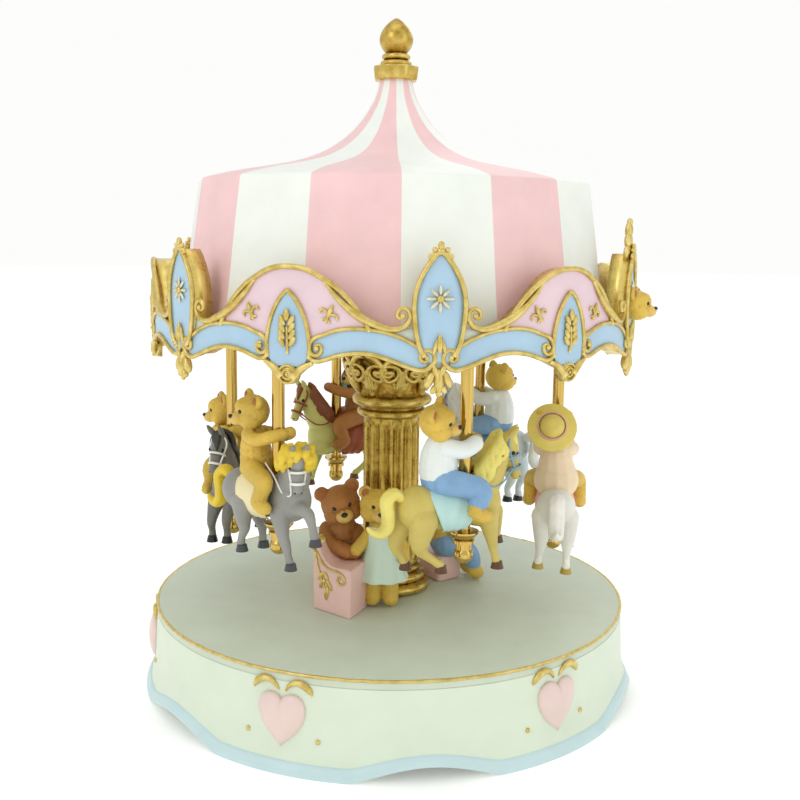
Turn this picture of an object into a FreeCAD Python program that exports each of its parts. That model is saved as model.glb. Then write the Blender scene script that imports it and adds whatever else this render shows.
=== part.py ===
import FreeCAD, Part
import math
import os

# Carousel music box. Millimetres, +Z up, origin under the middle of the base on
# the surface it stands on. Angles run round +Z from the front (-Y) towards +X.

# ---- driving dimensions ----
DECK_R = 100.0            # round platform
DECK_TOP = 36.5
DECK_T = 3.5
BEAD_R = 0.6              # gilt bead round the deck's edge
HEM_R = 105.0             # flared foot of the skirt
SKIRT_WALL = 3.5
SIX = 60.0                # everything round the rim repeats six times
HEART_ANGLE = -22.0
ARCH_ANGLE = 8.0
HEM_ARCH_R = 60.0
HEM_ARCH_RISE = 6.5

COVER_R = 96.5            # bottom closing plate
COVER_Z = 12.5
COVER_T = 2.0
LUG_R = 86.0              # four lugs inside the wall take the cover's screws
LUG_W = 14.0
LUG_T = 6.0
SCREW_R = 1.25
SCREW_HEAD_R = 2.4
COVER_SCREW_RING = 90.5

BED_Z = COVER_Z + COVER_T
BED_T = 1.5
BED_TOP = BED_Z + BED_T
BARREL_R = 13.4
BARREL_Z = 16.6
BARREL_TOP = 21.3
BARREL_WALL = 0.8
KEY_ARBOR_R = 1.55
RUN_FIT = 0.05            # radial clearance of every running fit
SHAFT_R = 3.0
TUBE_R = 5.0
TUBE_Z = 24.0

CROWN_TEETH = 24          # face teeth on the spring barrel
CROWN_R = 12.0
CROWN_TIP_Z = 22.4
CYL_TEETH = 10
CYL_PITCH_R = 5.0
CYL_Z = 27.0
CYL_R = 4.6
CYL_X0 = 18.0
CYL_X1 = 37.0
AXLE_R = 0.8
COMB_NOTES = 18

SPUR_TEETH = 36           # rim teeth on the spring barrel
SPUR_PITCH_R = 14.4
FAN_TEETH = 8
FAN_PITCH_R = 3.2
FAN_X = -(SPUR_PITCH_R + FAN_PITCH_R)
SPINDLE_R = 0.6

COLUMN_R = 12.0
FLUTES = 16
FOOT_TOP = 50.0
CAPITAL_Z = 113.0
CAPITAL_TOP = 148.5

CEILING_Z = 149.5
CEILING_T = 2.5
CEILING_R = 90.0
VALANCE_R = 98.0
VALANCE_IN_R = 90.0
CARTOUCHE_ANGLE = 9.0
OGIVE_ANGLE = 39.0
FACETS = 16
FACET_ANGLE = 1.7
TENT_T = 2.2
# radius and height of the sixteen-sided rings, from the lower rim to the neck
TENT_RINGS = [(90.0, 152.0), (84.9, 187.5), (81.2, 210.4), (75.5, 212.0), (54.6, 216.1),
              (35.2, 220.2), (28.3, 223.5), (21.4, 228.5), (15.9, 233.9), (11.8, 239.5),
              (8.4, 245.5), (6.5, 252.0)]
NECK_TOP = 252.0
COLLAR_TOP = 257.6
COLLAR_R = 9.9
TOP_Z = 276.9
EGG_R = 7.2

POLE_R = 2.4              # 3/16 inch brass rod
POLE_RING = 70.7
POLE_L = 131.0
POLE_FOOT = 7.0           # where the rod enters its ball cup
CUP_TOP = 12.7
LIFT = 12.7               # travel of a pole over the cam
GUIDE_R = 4.5
FOLLOWER_R = 2.5
CAM_OUT_R = 67.2
CAM_IN_R = 63.0
CAM_Z = 156.0
CAM_PEAK_ANGLE = -7.0
CAM_PEAK_Z = 188.0

# angle round the deck, height of the ball under the pole above the deck, long ears
MOUNTS = {
    "palomino": (22.9, 31.5, False),
    "white": (82.9, 20.5, False),
    "blue": (142.9, 31.5, False),
    "cream": (-157.1, 31.5, False),
    "dark": (-97.1, 20.5, True),
    "grey": (-37.1, 31.5, True),
}

Z_AXIS = FreeCAD.Vector(0, 0, 1)
X_AXIS = FreeCAD.Vector(1, 0, 0)
Y_AXIS = FreeCAD.Vector(0, 1, 0)


def v(x, y, z):
    return FreeCAD.Vector(x, y, z)


def polar(radius, angle, z=0.0):
    turn = math.radians(angle)
    return v(radius * math.sin(turn), -radius * math.cos(turn), z)


def disc(radius, z0, z1, centre=(0.0, 0.0)):
    return Part.makeCylinder(radius, z1 - z0, v(centre[0], centre[1], z0))


def ring(outer, inner, z0, z1):
    return disc(outer, z0, z1).cut(disc(inner, z0 - 1, z1 + 1))


def block(x0, x1, y0, y1, z0, z1):
    return Part.makeBox(x1 - x0, y1 - y0, z1 - z0, v(x0, y0, z0))


def turned(shape, angle):
    """A copy of a shape made at the front, turned about the centre line."""
    copy = shape.copy()
    copy.rotate(v(0, 0, 0), Z_AXIS, angle)
    return copy


def six(shape, angle):
    return [turned(shape, angle + SIX * i) for i in range(6)]


def join(shapes):
    return shapes[0].multiFuse(shapes[1:]).removeSplitter()


def group(shapes):
    return Part.makeCompound(shapes)


def lathe(points):
    """Turn an outline of (radius, height) points about the centre line."""
    corners = [v(r, 0, z) for r, z in points]
    face = Part.Face(Part.makePolygon(corners + corners[:1]))
    return face.revolve(v(0, 0, 0), Z_AXIS, 360)


def outline_prism(points, near, far):
    """Extrude an outline of (across, height) points outwards at the front."""
    corners = [v(x, -near, z) for x, z in points]
    face = Part.Face(Part.makePolygon(corners + corners[:1]))
    return face.extrude(v(0, near - far, 0))


def gear_outline(teeth, root_r, tip_r, root_half, tip_half, phase):
    """Corners of a gear of straight-sided teeth, as (x, y); half widths in mm."""
    corners = []
    for i in range(teeth):
        centre = phase + 2 * math.pi * i / teeth
        for radius, half in ((root_r, -root_half), (tip_r, -tip_half),
                             (tip_r, tip_half), (root_r, root_half)):
            angle = centre + half / radius
            corners.append((radius * math.cos(angle), radius * math.sin(angle)))
    return corners


def largest(shape):
    return max(shape.Solids, key=lambda solid: solid.Volume)


def save(name, shape):
    shape.exportStep("parts/" + name + ".step")


# ---- base ----

def skirt_outline():
    """Outer side of the skirt from its top edge down to the flared hem."""
    top = v(DECK_R, 0, DECK_TOP - DECK_T)
    waist = v(DECK_R + 1.0, 0, 17)
    hem = v(HEM_R, 0, 0)
    straight = Part.LineSegment(top, waist).toShape()
    flare = Part.Arc(waist, v(DECK_R + 2.1, 0, 7.5), hem).toShape()
    return [straight, flare]


def skirt_core():
    """The base as one filled body, for trimming what sits on its outside."""
    edges = skirt_outline()
    closing = Part.makePolygon([v(HEM_R, 0, 0), v(0, 0, 0), v(0, 0, DECK_TOP - DECK_T),
                                v(DECK_R, 0, DECK_TOP - DECK_T)])
    face = Part.Face(Part.Wire(Part.__sortEdges__(edges + closing.Edges)))
    return face.revolve(v(0, 0, 0), Z_AXIS, 360).fuse(disc(DECK_R, DECK_TOP - DECK_T, DECK_TOP))


def base_skirt():
    edges = skirt_outline()
    wall_top = DECK_TOP - DECK_T
    closing = Part.makePolygon([v(HEM_R, 0, 0), v(HEM_R - SKIRT_WALL, 0, 0),
                                v(DECK_R + 1 - SKIRT_WALL, 0, 12),
                                v(DECK_R - SKIRT_WALL, 0, wall_top), v(DECK_R, 0, wall_top)])
    face = Part.Face(Part.Wire(Part.__sortEdges__(edges + closing.Edges)))
    wall = face.revolve(v(0, 0, 0), Z_AXIS, 360)
    lug = block(LUG_R, DECK_R - SKIRT_WALL + 1, -LUG_W / 2, LUG_W / 2, BED_Z, BED_Z + LUG_T)
    skirt = wall.fuse([turned(lug, 45 + 90 * i) for i in range(4)])
    arch = Part.makeCylinder(HEM_ARCH_R, 30, v(0, -HEM_R + 15, HEM_ARCH_RISE - HEM_ARCH_R),
                             v(0, -1, 0))
    for cutter in six(arch, ARCH_ANGLE) + cover_screw_shanks():
        skirt = skirt.cut(cutter)
    return skirt


def deck_plate():
    return disc(DECK_R, DECK_TOP - DECK_T, DECK_TOP).cut(disc(TUBE_R, 0, DECK_TOP + 1))


def deck_rim_bead():
    z = DECK_TOP - BEAD_R
    slant = 0.7 * BEAD_R
    return lathe([(DECK_R, z - BEAD_R), (DECK_R + slant, z - slant), (DECK_R + BEAD_R, z),
                  (DECK_R + slant, z + slant), (DECK_R, z + BEAD_R)])


def heart():
    """Heart 18.4 wide and 20 tall, standing out of the wall at the front."""
    z = 18.5
    y = -(DECK_R - 4)
    foot = v(0, y, z - 10)
    cleft = v(0, y, z + 6.2)
    edges = []
    for side in (-1, 1):
        flank = v(side * 9.2, y, z + 3)
        edges.append(Part.Arc(foot, v(side * 6.0, y, z - 4.2), flank).toShape())
        edges.append(Part.Arc(flank, v(side * 5.2, y, z + 9.8), cleft).toShape())
    face = Part.Face(Part.Wire(Part.__sortEdges__(edges)))
    return face.extrude(v(0, -8.2, 0))


def heart_medallions(core):
    return group([h.cut(core) for h in six(heart(), HEART_ANGLE)])


def gilt_crescents(core):
    """A pair of curled leaves over each heart, one over each lobe."""
    pieces = []
    for side in (-1, 1):
        tip = v(side * 1.0, -97, 30.2)
        end = v(side * 11.0, -97, 29.0)
        upper = Part.Arc(tip, v(side * 6.2, -97, 34.6), end).toShape()
        lower = Part.Arc(end, v(side * 6.4, -97, 32.2), tip).toShape()
        face = Part.Face(Part.Wire([upper, lower]))
        leaf = face.extrude(v(0, -5.4, 0))
        pieces += [p.cut(core) for p in six(leaf, HEART_ANGLE)]
    return group(pieces)


def gilt_beads(core):
    beads = []
    for side in (-1, 1):
        stud = Part.makeCylinder(0.9, 5.0, v(0, -(DECK_R - 2.5), 12.5), v(0, -1, 0))
        beads += [b.cut(core) for b in six(stud, HEART_ANGLE + side * 8.0)]
    return group(beads)


def cover_screw_shanks():
    return [Part.makeCylinder(SCREW_R, BED_Z + LUG_T - COVER_Z + 1,
                              polar(COVER_SCREW_RING, 45 + 90 * i, COVER_Z - 1))
            for i in range(4)]


def bottom_cover():
    cover = disc(COVER_R, COVER_Z, BED_Z).cut(disc(2.5, 0, BED_Z + 1))
    for shank in cover_screw_shanks() + bed_screw_shanks():
        cover = cover.cut(shank)
    return cover


def cover_screws():
    screws = []
    for i in range(4):
        centre = polar(COVER_SCREW_RING, 45 + 90 * i)
        at = (centre.x, centre.y)
        head = disc(SCREW_HEAD_R, COVER_Z - 1.6, COVER_Z, at)
        slot = block(at[0] - 3, at[0] + 3, at[1] - 0.3, at[1] + 0.3, COVER_Z - 2, COVER_Z - 1.1)
        screws.append(head.cut(slot).fuse(disc(SCREW_R, COVER_Z, BED_Z + LUG_T, at)))
    return group(screws)


# ---- movement ----

BED_SCREWS = [(-22.0, 12.0), (-22.0, -12.0), (36.0, -11.0)]
COMB_SCREWS = [(21.0, 18.0), (34.0, 18.0)]
COMB_Y = 5.6
COMB_T = 1.0
COMB_SEAT = CYL_Z - COMB_T / 2
BRACKET_X = (16.0, 38.0)
BRACKET_T = 1.2


def bed_screw_shanks():
    return [disc(SCREW_R, COVER_Z + 0.4, BED_TOP, at) for at in BED_SCREWS]


def movement_bedplate():
    bed = block(-28, 42, -16, 25, BED_Z, BED_TOP)
    for hole in bed_screw_shanks():
        bed = bed.cut(hole)
    bed = bed.cut(disc(KEY_ARBOR_R + RUN_FIT, 0, 30))
    return bed.cut(disc(SPINDLE_R + RUN_FIT, BED_Z - 1, 30, (FAN_X, 0)))


def movement_screws():
    screws = [disc(SCREW_R, COVER_Z + 0.4, BED_TOP, at).fuse(disc(SCREW_HEAD_R, BED_TOP, 17.2, at))
              for at in BED_SCREWS]
    for at in COMB_SCREWS:
        top = COMB_SEAT + COMB_T
        screws.append(disc(SCREW_R, BED_TOP + 3, top, at).fuse(disc(SCREW_HEAD_R, top, top + 1.2, at)))
    return group(screws)


def music_comb():
    """Steel comb of eighteen tongues on its cast seat."""
    x0 = CYL_X0 + 0.5
    x1 = CYL_X1 - 0.5
    pitch = (x1 - x0) / COMB_NOTES
    comb = block(x0, x1, COMB_Y, 21, COMB_SEAT, COMB_SEAT + COMB_T)
    slots = [block(x0 + pitch * i - 0.1, x0 + pitch * i + 0.1, COMB_Y - 1, 14,
                   COMB_SEAT - 1, COMB_SEAT + COMB_T + 1) for i in range(1, COMB_NOTES)]
    seat = block(x0, x1, 15, 21, BED_TOP, COMB_SEAT)
    comb = comb.cut(Part.makeCompound(slots)).fuse(seat)
    for at in COMB_SCREWS:
        comb = comb.cut(disc(SCREW_R, BED_TOP + 3, 40, at))
    return comb.removeSplitter()


def movement_brackets():
    """Two cylinder cheeks and the cock over the air governor."""
    pieces = []
    bore = Part.makeCylinder(AXLE_R + RUN_FIT, 60, v(0, 0, CYL_Z), X_AXIS)
    for x in BRACKET_X:
        cheek = block(x, x + BRACKET_T, -3.5, 3.5, BED_TOP, CYL_Z + 3.5)
        pieces.append(cheek.cut(bore))
    post = block(-27, -24, -3, 3, BED_TOP, 31)
    arm = block(-27, FAN_X + 2.5, -2.5, 2.5, 29.6, 31)
    pieces.append(post.fuse(arm).cut(disc(SPINDLE_R + RUN_FIT, 20, 32, (FAN_X, 0))).removeSplitter())
    return group(pieces)


def spring_barrel():
    """Drum that holds the mainspring, with rim teeth and face teeth."""
    drum = disc(BARREL_R, BARREL_Z, BARREL_TOP)
    rim = gear_outline(SPUR_TEETH, SPUR_PITCH_R - 0.6, SPUR_PITCH_R + 0.4, 0.6, 0.3, 0.0)
    corners = [v(x, y, BARREL_Z + 0.5) for x, y in rim]
    teeth = Part.Face(Part.makePolygon(corners + corners[:1])).extrude(v(0, 0, 1.8))
    crown = []
    for i in range(CROWN_TEETH):
        tooth = [v(CROWN_R - 0.8, y, z) for y, z in
                 ((-0.6, BARREL_TOP - 0.3), (0.6, BARREL_TOP - 0.3), (0.3, CROWN_TIP_Z),
                  (-0.3, CROWN_TIP_Z))]
        wedge = Part.Face(Part.makePolygon(tooth + tooth[:1])).extrude(v(1.6, 0, 0))
        crown.append(turned(wedge, 360.0 * i / CROWN_TEETH))
    cavity = disc(BARREL_R - BARREL_WALL, BARREL_Z + BARREL_WALL, BARREL_TOP - BARREL_WALL)
    barrel = join([drum, teeth] + crown).cut(cavity)
    return barrel.cut(disc(KEY_ARBOR_R + RUN_FIT, 0, BARREL_Z + 2))


def mainspring():
    """Coiled strip, each half turn a half ring about one of two close centres."""
    strip = 0.4
    step = 0.7
    z0 = BARREL_Z + BARREL_WALL + 0.3
    z1 = BARREL_TOP - BARREL_WALL - 0.3
    halves = []
    for i in range(18):
        side = 1 if i % 2 else -1
        outer = 4.0 + strip + step / 2 * i
        centre = (0, side * step / 4)
        band = disc(outer, z0, z1, centre).cut(disc(outer - strip, z0 - 1, z1 + 1, centre))
        half = block(0, 20, -20, 20, z0 - 1, z1 + 1) if side > 0 else block(-20, 0, -20, 20, z0 - 1, z1 + 1)
        halves.append(band.common(half))
    return join(halves)


def winding_key():
    arbor = disc(KEY_ARBOR_R, 8, BARREL_TOP - BARREL_WALL - 0.4)
    hub = disc(2.3, 3.0, COVER_Z - 0.8)
    wing = block(-13, 13, -1.0, 1.0, 3.0, 10.6)
    for side in (-1, 1):
        eye = Part.makeCylinder(2.4, 4, v(side * 8.2, -2, 6.8), Y_AXIS)
        wing = wing.cut(eye)
        for z in (3.0, 10.6):
            corner = Part.makeCylinder(1.5, 4, v(side * 13, -2, z), Y_AXIS)
            wing = wing.cut(corner)
    return join([arbor, hub, wing])


def music_cylinder():
    """Pinned brass cylinder, its axle and the pinion on the barrel's face teeth."""
    axle = Part.makeCylinder(AXLE_R, 40.2 - 11.0, v(11.0, 0, CYL_Z), X_AXIS)
    drum = Part.makeCylinder(CYL_R, CYL_X1 - CYL_X0, v(CYL_X0, 0, CYL_Z), X_AXIS)
    phase = -math.pi / 2 + math.pi / CYL_TEETH
    profile = gear_outline(CYL_TEETH, CYL_PITCH_R - 0.6, CYL_PITCH_R + 0.4, 0.65, 0.35, phase)
    corners = [v(11.0, y, CYL_Z + z) for y, z in profile]
    pinion = Part.Face(Part.makePolygon(corners + corners[:1])).extrude(v(2.2, 0, 0))
    pitch = (CYL_X1 - CYL_X0 - 1) / COMB_NOTES
    pins = []
    for i in range(COMB_NOTES):
        angle = math.radians(30 + 160 * i)
        x = CYL_X0 + 0.5 + pitch * (i + 0.5)
        pins.append(Part.makeCylinder(0.25, CYL_R + 0.5, v(x, 0, CYL_Z),
                                      v(0, math.cos(angle), math.sin(angle))))
    return join([axle, drum, pinion] + pins)


def governor_fan():
    """Air brake: a spindle with a pinion on the barrel's rim teeth and two vanes."""
    spindle = disc(SPINDLE_R, BED_Z + 0.2, 31.4, (FAN_X, 0))
    profile = gear_outline(FAN_TEETH, FAN_PITCH_R - 0.6, FAN_PITCH_R + 0.4, 0.55, 0.3,
                           math.pi / FAN_TEETH)
    corners = [v(FAN_X + x, y, BARREL_Z + 0.6) for x, y in profile]
    pinion = Part.Face(Part.makePolygon(corners + corners[:1])).extrude(v(0, 0, 1.6))
    vanes = block(FAN_X - 4.4, FAN_X + 4.4, -0.3, 0.3, 23, 28.6)
    hub = disc(1.3, 22.6, 29, (FAN_X, 0))
    return join([spindle, pinion, vanes, hub])


# ---- column and cam ----

def column_foot():
    plinth = ring(16.6, TUBE_R, DECK_TOP, DECK_TOP + 3.4)
    core = ring(12.8, TUBE_R, DECK_TOP, FOOT_TOP)
    rolls = [Part.makeTorus(14.4, 2.2, v(0, 0, DECK_TOP + 5.4)),
             Part.makeTorus(12.9, 1.7, v(0, 0, DECK_TOP + 9.6))]
    return join([plinth, core] + rolls)


def column_shaft():
    shaft = ring(COLUMN_R, TUBE_R, FOOT_TOP, CAPITAL_Z)
    groove = Part.makeCylinder(1.35, CAPITAL_Z - FOOT_TOP - 6, v(0, -COLUMN_R - 0.35, FOOT_TOP + 3))
    return shaft.cut(Part.makeCompound([turned(groove, 360.0 * i / FLUTES) for i in range(FLUTES)]))


def column_capital():
    bell = lathe([(TUBE_R, CAPITAL_Z), (13.0, CAPITAL_Z), (15.3, CAPITAL_Z + 1.2),
                  (15.3, CAPITAL_Z + 3.4), (14.0, CAPITAL_Z + 4.4), (17.2, CAPITAL_Z + 6.4),
                  (17.2, CAPITAL_Z + 8.6), (14.5, CAPITAL_Z + 10.0), (17.0, CAPITAL_Z + 15),
                  (20.5, CAPITAL_Z + 24), (21.0, CAPITAL_TOP - 5), (23.0, CAPITAL_TOP - 4),
                  (23.0, CAPITAL_TOP), (TUBE_R, CAPITAL_TOP)])
    scroll = Part.makeCylinder(4.2, 5.0, v(0, -17.5, CAPITAL_Z + 18), v(0, -1, 0))
    return join([bell] + [turned(scroll, 22.5 + 45 * i) for i in range(8)])


def centre_tube():
    return ring(TUBE_R, SHAFT_R + RUN_FIT, TUBE_Z, CAM_PEAK_Z - LIFT)


def cam_track():
    """Fixed ring cam: its rim rises to two crests and falls to two hollows."""
    rim = ring(CAM_OUT_R, CAM_IN_R, CAM_Z, CAM_PEAK_Z + 5)
    web = ring(CAM_OUT_R, TUBE_R, CAM_Z, CAM_Z + 2)
    boss = ring(9.0, TUBE_R, CAM_Z, CAM_Z + 8)
    slope = math.degrees(math.atan2(LIFT, POLE_RING))
    valley_z = CAM_PEAK_Z - LIFT
    cam = join([rim, web, boss])
    # the sky over two planes that fall from the crests to a line across the centre
    sky = Part.makeBox(300, 300, 80, v(-150, -150, 0))
    planes = []
    for tilt in (slope, -slope):
        plane = sky.copy()
        plane.rotate(v(0, 0, 0), X_AXIS, tilt)
        plane.translate(v(0, 0, valley_z))
        planes.append(plane)
    above_both = planes[0].common(planes[1])
    return cam.cut(turned(above_both, CAM_PEAK_ANGLE))


# ---- canopy ----

def ceiling_disc():
    disc_shape = ring(CEILING_R, TUBE_R + 0.6, CEILING_Z, CEILING_Z + CEILING_T)
    for angle, _, _ in MOUNTS.values():
        at = polar(POLE_RING, angle)
        disc_shape = disc_shape.cut(disc(GUIDE_R, 0, 200, (at.x, at.y)))
    return disc_shape


def pole_guides():
    guides = []
    for angle, _, _ in MOUNTS.values():
        at = polar(POLE_RING, angle)
        centre = (at.x, at.y)
        bush = disc(GUIDE_R, CEILING_Z, CAM_Z - 0.8, centre)
        flange = ring(6.5, GUIDE_R, CEILING_Z + CEILING_T, CEILING_Z + CEILING_T + 1.2)
        flange.translate(v(at.x, at.y, 0))
        guides.append(bush.fuse(flange).cut(disc(POLE_R + RUN_FIT, 0, 200, centre)).removeSplitter())
    return group(guides)


def facet_loft(rings):
    """Sixteen-sided tent through rings of (radius, height)."""
    wires = []
    for radius, z in rings:
        corners = [polar(radius, FACET_ANGLE + 360.0 * i / FACETS, z) for i in range(FACETS)]
        wires.append(Part.makePolygon(corners + corners[:1]))
    return Part.makeLoft(wires, True, True)


def tent_inside():
    inner = [(TENT_RINGS[0][0] - TENT_T, TENT_RINGS[0][1])]
    for (radius, z) in TENT_RINGS[1:3]:
        inner.append((radius - TENT_T, z - TENT_T))
    for (radius, z) in TENT_RINGS[3:-1]:
        inner.append((radius - 0.7 * TENT_T, z - TENT_T))
    inner.append((TENT_RINGS[-1][0] - TENT_T, NECK_TOP))
    return facet_loft(inner)


def tent_canopy(inside):
    return facet_loft(TENT_RINGS).cut(inside)


def crown_hub(inside):
    """Plug that ties the drive shaft to the tent under the neck."""
    slab = disc(60, 229, 238)
    return inside.common(slab).cut(disc(SHAFT_R, 200, 260))


def drive_shaft():
    return disc(SHAFT_R, BARREL_TOP, 246)


# outlines as (distance round the rim, height), from the middle outwards
ARCH_TOP = [(0.0, 179.4), (6.0, 178.9), (12.5, 176.0), (21.0, 168.6), (24.6, 164.0),
            (30.0, 160.2), (36.5, 159.2), (43.0, 162.0), (50.5, 166.0)]
BAND_FOOT = [(50.5, 145.5), (41.0, 146.3), (35.0, 148.6), (26.0, 150.2), (18.0, 149.6),
             (9.0, 147.6), (4.5, 145.6), (3.6, 141.8), (0.0, 139.0)]
CARTOUCHE = [(0.0, 186.8), (3.3, 184.0), (4.0, 181.4), (6.6, 176.5), (8.2, 168.2),
             (7.6, 159.0), (6.0, 152.2), (7.0, 146.5), (4.4, 141.0), (0.0, 136.2)]


def mirrored(points):
    left = [(-x, z) for x, z in reversed(points) if x > 0]
    return points + left


def valance():
    """Ring of six arches and six cartouches, cut out of one band."""
    band = ring(VALANCE_R, VALANCE_IN_R, 130, 195)
    pieces = []
    arch = band.common(outline_prism(mirrored(ARCH_TOP + BAND_FOOT), 85, 105))
    cartouche = band.common(outline_prism(mirrored(CARTOUCHE), 85, 105))
    for shape, angle in ((arch, OGIVE_ANGLE), (cartouche, CARTOUCHE_ANGLE)):
        front = max(shape.Solids, key=lambda s: -s.CenterOfMass.y)
        pieces += six(front, angle)
    return join(pieces)


def bear_head_medallion():
    """Bear's head on one cartouche, facing outwards."""
    z = 163.5
    pieces = [Part.makeSphere(6.8, v(0, -101.5, z)), Part.makeSphere(3.1, v(0, -106.8, z - 1.8))]
    for side in (-1, 1):
        pieces.append(Part.makeSphere(2.5, v(side * 5.4, -100.6, z + 6.0)))
    head = join(pieces).cut(disc(VALANCE_R, 100, 250))
    return turned(head, CARTOUCHE_ANGLE + SIX)


def finial_collar():
    corners = [polar(COLLAR_R, 22.5 + 45 * i, NECK_TOP) for i in range(8)]
    face = Part.Face(Part.makePolygon(corners + corners[:1]))
    return face.extrude(v(0, 0, COLLAR_TOP - NECK_TOP))


def finial():
    """Two neck rings under an egg with a pointed top."""
    z = COLLAR_TOP
    outline = [(0, z), (6.2, z), (6.6, z + 1.0), (6.2, z + 2.0), (5.0, z + 2.4), (5.0, z + 3.2),
               (6.0, z + 3.8), (6.0, z + 4.8), (4.6, z + 5.4)]
    steps = 12
    for i in range(1, steps + 1):
        along = i / steps
        radius = EGG_R * math.sin(math.pi * (0.2 + 0.8 * along)) ** 0.8
        outline.append((radius, z + 5.4 + (TOP_Z - z - 5.4) * along))
    outline[-1] = (0, TOP_Z)
    return lathe(outline)


# ---- poles, horses and riders ----
# Made at the origin of the pole's ball, heading along +X, then set on the ring.

def limb(points):
    """A limb through (x, y, z, radius) joints: balls with cones between them."""
    pieces = []
    for x, y, z, r in points:
        pieces.append(Part.makeSphere(r, v(x, y, z)))
    for a, b in zip(points[:-1], points[1:]):
        start = v(*a[:3])
        way = v(*b[:3]) - start
        pieces.append(Part.makeCone(a[3] * 0.9, b[3] * 0.88, way.Length, start, way))
    return pieces


def capsule(a, b):
    """A limb between two (x, y, z, radius) joints, turned about its own length."""
    start = v(*a[:3])
    way = v(*b[:3]) - start
    outline = [(0, -0.95 * a[3]), (0.35 * a[3], -0.95 * a[3]), (0.8 * a[3], -0.55 * a[3]), (a[3], 0),
               (b[3], way.Length), (0.8 * b[3], way.Length + 0.55 * b[3]),
               (0.35 * b[3], way.Length + 0.95 * b[3]), (0, way.Length + 0.95 * b[3])]
    solid = lathe(outline)
    solid.Placement = FreeCAD.Placement(start, FreeCAD.Rotation(Z_AXIS, way))
    return solid


def set_on_ring(shape, name):
    angle, height, _ = MOUNTS[name]
    placed = shape.copy()
    placed.translate(v(0, -POLE_RING, DECK_TOP + height))
    return turned(placed, angle)


def pole():
    rod = disc(POLE_R, POLE_FOOT, POLE_FOOT + POLE_L)
    z = POLE_FOOT + POLE_L - 4.0
    pin = Part.makeCylinder(1.2, 6.6, v(0, 0, z), Y_AXIS)
    roller = Part.makeCylinder(FOLLOWER_R, 3.4, v(0, 3.4, z), Y_AXIS)
    return join([rod, pin, roller])


def pole_cup():
    """Ball under a flared brass cup that carries the horse."""
    ball = Part.makeSphere(3.6, v(0, 0, 3.6))
    neck = disc(3.0, 4.0, 10.0)
    collar = ring(4.0, 1.0, 8.0, 9.2)
    dish = Part.makeCone(3.6, 5.6, 2.4, v(0, 0, 9.6))
    lip = disc(5.6, 12.0, CUP_TOP)
    return join([ball, neck, collar, dish, lip]).cut(disc(POLE_R, POLE_FOOT, 20))


def barrel():
    """The horse's body from chest to rump, turned about its length."""
    middle = 21.7
    girth = [(-27.5, 0), (-26.6, 4.0), (-23.5, 7.2), (-19, 8.5), (-9, 7.9), (-1, 8.0), (6, 8.6),
             (11, 7.0), (13.6, 4.0), (14.4, 0)]
    corners = [v(x, 0, middle + r) for x, r in girth]
    outline = Part.Face(Part.makePolygon(corners + corners[:1]))
    return outline.revolve(v(0, 0, middle), X_AXIS, 360)


def horse(long_ears):
    """Leaping horse; the pole goes through its withers, ahead of the saddle."""
    neck = limb([(7, 0, 26, 6.2), (14.5, 0, 39, 4.6)])
    head = limb([(16.5, 0, 42.5, 4.5), (21.5, 0, 34.5, 2.9)])
    tail = limb([(-26, 0, 25, 2.2), (-30, 0, 28, 2.6), (-31.5, 0, 20, 2.8), (-37, 0, 14.5, 1.8)])
    legs = []
    for y in (-4.5, 4.5):
        reach = 4.0 if y > 0 else 0.0
        legs += limb([(7.5, y, 17, 4.4), (10.5 + reach, y, 9, 2.3), (11.5 + reach, y, 2.0, 2.0)])
        legs += limb([(-19, y, 18, 5.0), (-21 - reach, y, 9, 2.6), (-14 - reach, y, 1.5, 2.0)])
    ears = []
    ear_length = 6.5 if long_ears else 4.0
    for y in (-2.4, 2.4):
        ears.append(Part.makeCone(1.6, 0.4, ear_length, v(14.5, y, 44.5), v(-0.3, y / 6, 1)))
    shape = join([barrel()] + neck + head + tail + legs + ears)
    return shape.cut(disc(POLE_R, 0, 60)).cut(disc(6, 0, CUP_TOP))


def rider(hat):
    """Seated bear behind the pole, arms round it and legs astride."""
    pieces = [capsule((-11, 0, 35, 7.0), (-11, 0, 43, 5.8)), capsule((-11, 0, 52.6, 7.2), (-11, 0, 55.6, 7.0)),
              capsule((-9, -0.2, 52.8, 3.6), (-4.6, -0.6, 52.4, 2.4))]
    for side in (-1, 1):
        pieces.append(Part.makeCylinder(2.4, 3.0, v(-13, side * 5.6, 61.0), X_AXIS))
        shoulder = (-10, side * 4.6, 43.6, 3.1)
        elbow = (-3.3, side * 6.7, 42.2, 2.7)
        pieces += [capsule(shoulder, elbow), capsule(elbow, (3.0, side * 3.8, 44.3, 2.2))]
        knee = (0.4, side * 9.3, 28.2, 3.2)
        pieces += [capsule((-9.6, side * 5.1, 31.8, 3.9), knee), capsule(knee, (-1.2, side * 10.3, 21.1, 2.9))]
    if hat:
        pieces.append(Part.makeCone(10.5, 5.0, 5.5, v(-13.5, 0, 56.0), v(-0.8, 0, 1)))
    return join(pieces).cut(barrel()).cut(disc(POLE_R, 0, 80))


# ---- figures on the deck ----

BOOTH_FOOT = [(-15.7, -42.8), (-31.6, -29.6), (-23.7, -10.5), (-7.8, -23.7)]


def ticket_booth():
    """Low counter with a taller back cheek that ends in a scroll."""
    corners = [v(x, y, DECK_TOP) for x, y in BOOTH_FOOT]
    low = Part.Face(Part.makePolygon(corners + corners[:1])).extrude(v(0, 0, 20))
    front, left, back, right = corners
    shoulder = left + (front - left) * 0.42
    shoulder_back = back + (right - back) * 0.42
    cheek = Part.Face(Part.makePolygon([left, shoulder, shoulder_back, back, left]))
    tall = cheek.extrude(v(0, 0, 29))
    way = (back - left)
    overhang = way * (0.4 / way.Length)
    scroll = Part.makeCylinder(2.6, way.Length + 0.8, left - overhang + v(0, 0, 27.4), way)
    return join([low, tall, scroll])


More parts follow.
